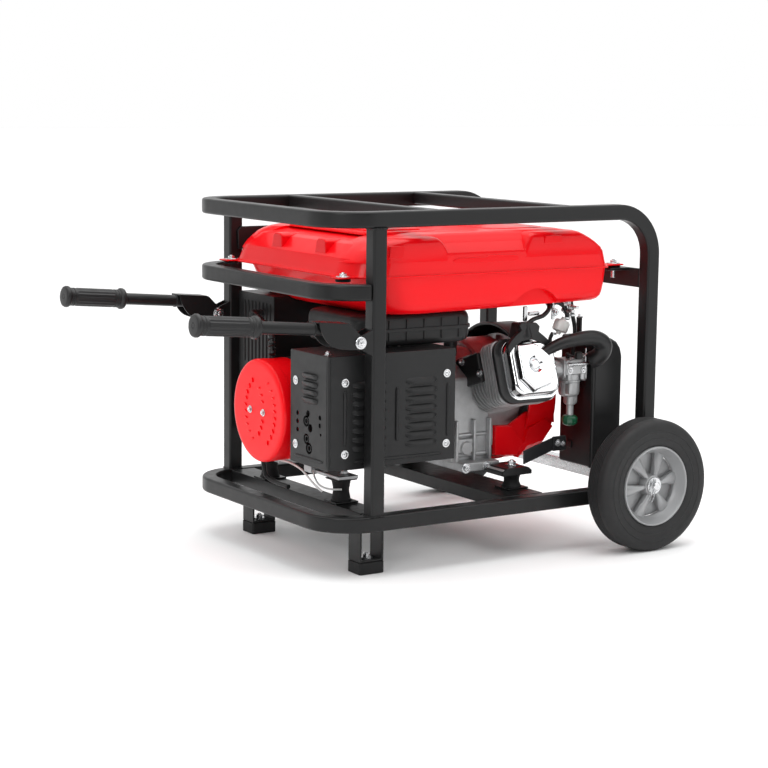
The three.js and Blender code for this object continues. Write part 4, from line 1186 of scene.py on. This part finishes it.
def make_cooling():
    centre = (0, 0, CRANK_Z)
    band = [(130, 264), (133, 264), (134, 266), (134, 322), (132, 327), (127, 330), (70, 330), (70, 326),
            (124, 326), (130, 320)]
    housing = Build(lathe(band, "x", centre, 112))
    lip = [(131, 261.6), (135, 261.6), (135.6, 263), (135, 264.4), (131, 264.4)]
    housing.add(lathe(lip, "x", centre, 112))
    # The duct that turns the air up to the cylinder, folded from flat sheet.
    duct = [(188, 166), (240, 162), (262, 192), (267, 211), (307, 228), (333, 217), (331, 249), (262, 244),
            (222, 222), (188, 224)]
    housing.add(prism(duct, "xz", -122, -116, 1.6, 2))
    housing.add(prism([(188, 166), (240, 162), (256, 184), (226, 220), (188, 224)], "xz", -127, -121, 2.2,
                      2))
    facet = [(240, 158), (258, 190), (262, 212), (302, 229), (324, 213), (304, 186), (266, 178), (246, 156)]
    rings = []
    for lift, share in ((0, 1.0), (7, 0.96)):
        rings.append([v(282 + (x - 282) * share, -124 - lift - (z - 156) * 0.16 + 10, z) for x, z in facet])
    housing.add(loft(rings))
    housing.add(prism([(186, 170), (262, 166), (264, 200), (186, 200)], "xz", 60, 118, 1.5))
    above = (220, -150, 288)
    housing.minus(Build(block(above, (345, 150, 420))))
    show("blower_shell", housing, replaces=("blower_housing",))
    hood = Build(lathe(band, "x", centre, 112), lathe(lip, "x", centre, 112))
    hood.minus(Build(block((220, -150, 120), (345, 150, 288.4))))
    show("blower_hood", hood, "black_plastic")

    fan = Build(lathe([(17.4, 272), (60, 272), (112, 286), (112, 289), (60, 276), (17.4, 300)], "x", centre,
                      72))
    for i in range(20):
        fan.add(block((276, -1.2, 60), (310, 1.2, 110), 0.5), place=on_crank(18 * i))
    fan.add(lathe([(17.4, 272), (34, 272), (34, 306), (17.4, 306)], "x", centre, 48))
    show("flywheel", fan, replaces=("flywheel_fan",))

    back = RECOIL_X
    cup = [(0, back + 40), (54, back + 40), (60, back + 39.4), (76, back + 36.6), (84, back + 33),
           (90, back + 18), (94, back + 0.4), (90, back + 0.4), (84, back + 18), (79, back + 30),
           (58, back + 36), (0, back + 36)]
    slots = Build()
    for i in range(18):
        slot = prism(rounded(-3.5, 3.5, 24, 52, 3.4, 4), "xy", 28, 46)
        slots.add(slot, place=on_crank(20 * i, back) @ AXES["x"])
    starter = Build(lathe(list(reversed(cup)), "x", centre, 96)).minus(slots)
    starter.add(lathe([(90, back + 0.4), (112, back + 0.4), (112, back + 3), (90, back + 3)], "x", centre,
                      80))
    spout = Build(block((back + 10, 72, CRANK_Z - 12), (back + 28, 100, CRANK_Z + 12), 3, 3))
    spout.minus(Build(lathe([(0, 90), (6, 90), (6, 110), (0, 110)], "y", (back + 19, 0, CRANK_Z), 24)))
    starter.add(spout.mesh)
    show("starter_housing", starter, replaces=("recoil_cover",))
    bolts = Build()
    for i in range(6):
        angle = math.radians(60 * i + 30)
        bolts.add(hex_bolt((back + 3.2, 102 * math.cos(angle), CRANK_Z + 102 * math.sin(angle)), (1, 0, 0),
                           5, 4, 1.4))
    show("starter_bolts", bolts, "zinc_steel")
    reel = lathe([(0, back + 4), (56, back + 4), (56, back + 6), (48, back + 9), (48, back + 15),
                  (56, back + 18), (56, back + 20), (0, back + 20)], "x", centre, 72)
    hub = placed(prism(circle(12, 6), "yz", back + 19, back + 26, 1), moved(0, 0, CRANK_Z))
    show("starter_reel", Build(reel, hub), replaces=("starter_pulley",))
    handle = lathe([(0, 0.3), (13, 0.3), (15, 2), (17.6, 6), (17, 9), (13.6, 13), (12.6, 18), (14.6, 25),
                    (15.6, 28), (14, 30), (0, 30)], "y", (back + 19, 100, CRANK_Z), 48)
    show("starter_handle", Build(handle), replaces=("starter_grip",))


# ---------------------------------------------------------------- intake, fuel and exhaust

CARB = (322.0, -178.0)


def make_intake():
    x, y = CARB
    carb = Build(block((x - 24, y - 23, 322), (x + 24, y + 23, 351.5), 3, 3))
    carb.add(lathe([(0, 279), (15, 279), (19, 282), (20.4, 288), (20.4, 306), (22, 307.4), (22, 310.4),
                    (20.4, 312), (20, 324), (0, 324)], "z", (x, y, 0), 56))
    carb.add(lathe([(0, 262), (9, 262), (12, 264), (13.4, 268), (13.4, 282), (0, 282)], "z", (x + 4, y, 0),
                   36))
    carb.add(lathe([(0, 236), (7, 236), (7, 262), (9, 264), (9, 284), (0, 284)], "z", (x - 1, y - 6, 0), 28))
    carb.add(rod(17, 266.4, x, "x", (0, y, 332), 40, 1))
    carb.add(prism(rounded(-26, 26, -22, 22, 8), "xy", 0, 5, 1), place=facing((1, 0, 0), (x + 21, y, 334)))
    carb.add(prism(rounded(-20, 20, -20, 20, 8), "xy", 0, 5, 1), place=facing((1, 0, 0), (x - 28, y, 334)))
    for dx in (-16, 16):
        carb.add(rod(4.6, 312, 330, "z", (x + dx, y - 20, 0), 20))
    carb.add(block((x - 22, y - 30, 286), (x - 14, y - 16, 306), 2))
    show("carburettor_body", carb, replaces=("carburetor",))
    fittings = Build(rod(3.0, x - 24, x + 26, "x", (0, y - 27, 343), 20),
                     pan_screw((x - 16, y - 24, 331), (0, -1, 0), 4),
                     pan_screw((x + 16, y - 24, 331), (0, -1, 0), 4))
    fittings.add(hex_bolt((x + 4, y, 261.8), (0, 0, -1), 5, 3, 1.2),
                 rod(2, 330, 372, "z", (x + 22, y - 22, 0), 14))
    rod_ends = [(x - 20, y - 26, 352), (x - 6, y - 28, 358), (x + 10, y - 28, 356), (x + 22, y - 26, 362)]
    fittings.add(cable(rod_ends, 1.1, 8))
    show("carburettor_fittings", fittings, "zinc_steel")
    cup = lathe([(0, 222.5), (8, 222.5), (13, 226), (14.6, 231), (14.6, 238), (13, 241), (8, 243),
                 (0, 243)], "z", (x - 1, y - 6, 0), 40, flutes=(10, 0.8, 226, 238.5))
    show("drain_cup", Build(cup), "black_plastic", finish=GREEN)
    lever = Build(rod(4, 352.3, 362.3, "z", (x - 8, y - 4, 0), 24),
                  block((x - 12, y - 38, 356.3), (x - 4, y - 2, 359.8), 1))
    lever.add(lathe([(0, 354.4), (6, 354.4), (7, 357), (6.4, 367), (5, 368.2), (0, 368.2)], "z",
                    (x - 8, y - 38, 0), 28))
    show("choke_tab", lever, replaces=("choke_lever",))

    hose = Build(cable([(346, -178, 333), (349, -178, 333), (355, -178, 333)], 17, 28, 4))
    hose.add(lathe([(14, 346.3), (20.5, 346.3), (20.5, 352), (14, 352)], "x", (0, -178, 333), 36))
    show("intake_hose", hose, replaces=("intake_elbow",))
    # The fat breather hose passes over the carburettor and turns down into the air box's near face.
    breather = smooth([(232, -214, 372), (250, -222, 383), (270, -226, 390), (295, -228, 394),
                       (322, -229, 396), (345, -230, 393), (362, -229, 382), (364, -224, 366),
                       (359, -214, 354), (356, -206, 350)], 6)
    widths = [0.6 + 0.48 * min(1.0, 1.5 * i / len(breather)) for i in range(len(breather))]
    tube = Build(sweep(breather, circle(15.5, 28), scales=widths))
    show("breather_hose", tube, "hose_rubber")

    side = [(355, 140), (415, 138.5), (424, 148), (424, 354), (420, 368), (411, 380), (398, 387),
            (386, 389), (355, 389)]
    box = Build(prism(side, "xz", -212, -108, 5, 4))
    lid = [(358, 144), (412, 142.5), (420.5, 150), (420.5, 352), (417, 365), (409, 376), (397, 383.4),
           (386, 385.4), (358, 385.4)]
    box.add(prism(lid, "xz", -213.8, -210, 1.6, 2))
    rim = sweep([v(a, -206, b) for a, b in side], rounded(-1.3, 1.3, -1.3, 1.3, 0.5, 2), closed=True)
    box.add(rim)
    for z in (170, 330):
        box.add(block((352.5, -150, z), (357, -134, z + 14), 1.2))
    for x0, z0 in ((366, 388.5), (392, 380)):
        box.add(block((x0, -190, z0 - 5), (x0 + 9, -178, z0 + 3), 1.4))
    box.add(block((361, -158, 386), (367, -146, 426), 1.4))
    show("air_cleaner_case", box, replaces=("air_cleaner_box",))
    latch = Build(rod(2.2, 424, 432, "z", (364, -152, 0), 16), block((360, -155, 424), (372, -149, 427), 1))
    show("case_clip", latch, "zinc_steel")

    bar = [(200, 160), (268, 181), (268, 206), (200, 186)]
    strip = Build(prism(bar, "xz", -203, -199, 1.2), block((266, -206, 180), (297, -201, 208), 1.6))
    show("case_bracket", strip, "zinc_steel", finish=DARK)
    show("case_bracket_bolts", Build(hex_bolt((277, -206.2, 195), (0, -1, 0), 4.6, 3.6, 1.4),
                                     hex_bolt((289, -206.2, 193), (0, -1, 0), 3.6, 3, 1.4)), "zinc_steel")


def make_fuel_line():
    x, y = 300, -205
    valve = Build(lathe([(0, 454), (9, 454), (11, 456), (11, 464), (9, 468), (0, 468)], "z", (x, y + 16, 0),
                        32))
    valve.add(rod(4, 440, 458, "z", (x, y + 16, 0), 20), rod(4, -10, 24, "y", (x, y, 446), 20))
    valve.add(hex_bolt((x - 30, -196, 444), (0, -1, 0), 6, 5, 1.3),
              rod(3.2, 430, 466, "z", (x - 30, -190, 0), 18))
    valve.add(block((x - 88, -194, 440), (x - 64, -188, 447), 1.4),
              block((x - 100, -194, 430), (x - 92, -188, 458), 1.4))
    show("fuel_tap_body", valve, "zinc_steel")
    lever = Build(rod(5, 450, 458, "z", (x, y, 0), 28), block((x - 4, y - 22, 452), (x + 4, y, 457), 1.4, 3))
    show("fuel_tap_lever", lever, replaces=("fuel_valve_lever",), finish=FINISH["zinc_steel"])
    line = Build(cable([(312, -191, 464), (314, -193, 440), (326, -187, 405), (338, -166, 354)], 4, 14, 10))
    line.add(cable([(262, -186, 452), (276, -190, 462), (292, -192, 456), (302, -192, 440),
                    (304, -191, 428)], 4.6, 14))
    line.add(cable([(274, -186, 404), (268, -186, 392), (276, -182, 378), (292, -180, 370)], 3.6))
    show("fuel_line", line, replaces=("fuel_hose",))
    filter_body = lathe([(0, -16), (4, -16), (5, -12), (13, -10), (15, -7), (15, 8), (13, 11), (5, 13),
                         (4, 18), (0, 18)], "z", (0, 0, 0), 40)
    place = moved(290, -190, 416) @ turned(24, "Y")
    show("fuel_filter", Build().add(filter_body, place=place), "black_plastic", finish=MILKY)
    clips = Build()
    for spot in ((304, -191, 431), (276, -186, 402), (316, -192, 436)):
        clips.add(lathe([(4.6, -1.6), (5.8, -1.6), (5.8, 1.6), (4.6, 1.6)], "z", spot, 24))
    show("hose_clips", clips, "zinc_steel")


def make_exhaust():
    rings = []
    for z, inset in ((400, 10), (401.5, 6), (404, 3), (409, 1), (414, 0), (444, 0), (449, 1), (454, 3),
                     (456.5, 6), (458, 10)):
        outline = rounded(-170 + inset, 84 - inset, -196 + inset, -10 - inset, 26, 6)
        rings.append([(a, b, z) for a, b in outline])
    can = Build(loft(rings))
    seam = [(a, b, 429) for a, b in rounded(-171.5, 85.5, -197.5, -8.5, 27, 8)]
    can.add(sweep(seam, rounded(-3, 3, -1.2, 1.2, 0.8, 2), closed=True))
    can.add(cable([(70, -80, 432), (96, -80, 432), (108, -80, 426), (112, -80, 410), (112, -80, 358)], 12.6,
                  24, 6))
    for i in range(6):
        x = -140 + 38 * i
        can.add(rib(v(x, -196.4, 410), v(x, -196.4, 448), 1.8))
    show("muffler_shell", can, replaces=("muffler",))


# ---------------------------------------------------------------- wiring and mounts


def make_wiring():
    route = smooth([(-225, 8, 366), (-226, 8, 385), (-222, 20, 410), (-212, 80, 428), (-204, 116, 432),
                    (-192, 137, 432), (-181, 142, 432), (-168.5, 142, 432)], 12)
    tube = Build(sweep(route, circle(5.4, 14)))
    spiral = []
    length = 0.0
    for i, point in enumerate(route):
        if i:
            length += (point - route[i - 1]).length
    pitch, turns_per = 7.0, 10
    count = int(length / pitch * turns_per)
    for k in range(count + 1):
        t = k / count * (len(route) - 1)
        i = min(int(t), len(route) - 2)
        point = route[i].lerp(route[i + 1], t - i)
        tangent = (route[i + 1] - route[i]).normalized()
        across = tangent.cross(v(1, 0.3, 0)).normalized()
        other = tangent.cross(across)
        angle = 2 * math.pi * k / turns_per
        spiral.append(point + (across * math.cos(angle) + other * math.sin(angle)) * 5.7)
    tube.add(sweep(spiral, [(-0.7, -2.1), (0.7, -2.1), (0.7, 2.1), (-0.7, 2.1)]))
    show("conduit_wrap", tube, replaces=("wiring_conduit",))

    wires = Build(cable([(-192, 60, 166), (-200, 20, 169), (-206, -30, 172), (-208, -74, 166),
                         (-204, -104, 148), (-196, -124, 134)], 2.0, 10),
                  cable([(-200, -100, 168), (-204, -112, 158), (-200, -122, 146), (-188, -136, 140),
                         (-170, -150, 140)], 1.8, 10))
    show("earth_wires", wires, "zinc_steel", finish=WHITE)
    lead = Build(cable([(-214, 58, 188), (-212, 66, 170), (-204, 74, 150), (-196, 80, 130), (-190, 60, 121),
                        (-188, 10, 119)], 4.5))
    show("battery_lead", lead, "hose_rubber")


MOUNTS = (("left", -159, 130, 157.7), ("right", 190, 178, 144.7))  # end, x, reach to either side, top


def make_mounts():
    for place, x, reach, top in MOUNTS:
        for name, side in SIDES.items():
            low = POST_FOOT
            mid = (low + top) / 2
            profile = [(0, low), (18, low), (19, low + 1), (19, low + 4), (17.4, low + 6), (15, mid - 4),
                       (14.6, mid), (15, mid + 4), (17.4, top - 6), (19, top - 4), (19, top - 1), (18, top),
                       (0, top)]
            pad = Build(lathe(profile, "z", (x, side * reach, 0), 48))
            show(f"isolator_{place}_{name}_rubber", pad, replaces=(f"isolator_{place}_{name}",))
            plates = Build(block((x - 24, side * reach - 22, low + 0.1),
                                 (x + 24, side * reach + 22, low + 3), 1))
            plates.add(block((x - 22, side * reach - 20, top - 3), (x + 22, side * reach + 20, top - 0.4),
                             1))
            if place == "right":
                # A pressed steel saddle over the engine's lug.
                inner, outer = sorted((side * 143, side * 207.5))
                plates.add(prism([(148, 142), (216, 142), (216, 150), (206, 156.4), (158, 156.4),
                                  (148, 150)], "xz", inner, outer, 1.4))
            show(f"isolator_{place}_{name}_plate", plates, "frame_paint")


make_frame()
make_wheels()
make_handles()
make_tank()
make_vent_box()
make_panel()
make_alternator()
make_engine()
make_cooling()
make_intake()
make_fuel_line()
make_exhaust()
make_wiring()
make_mounts()
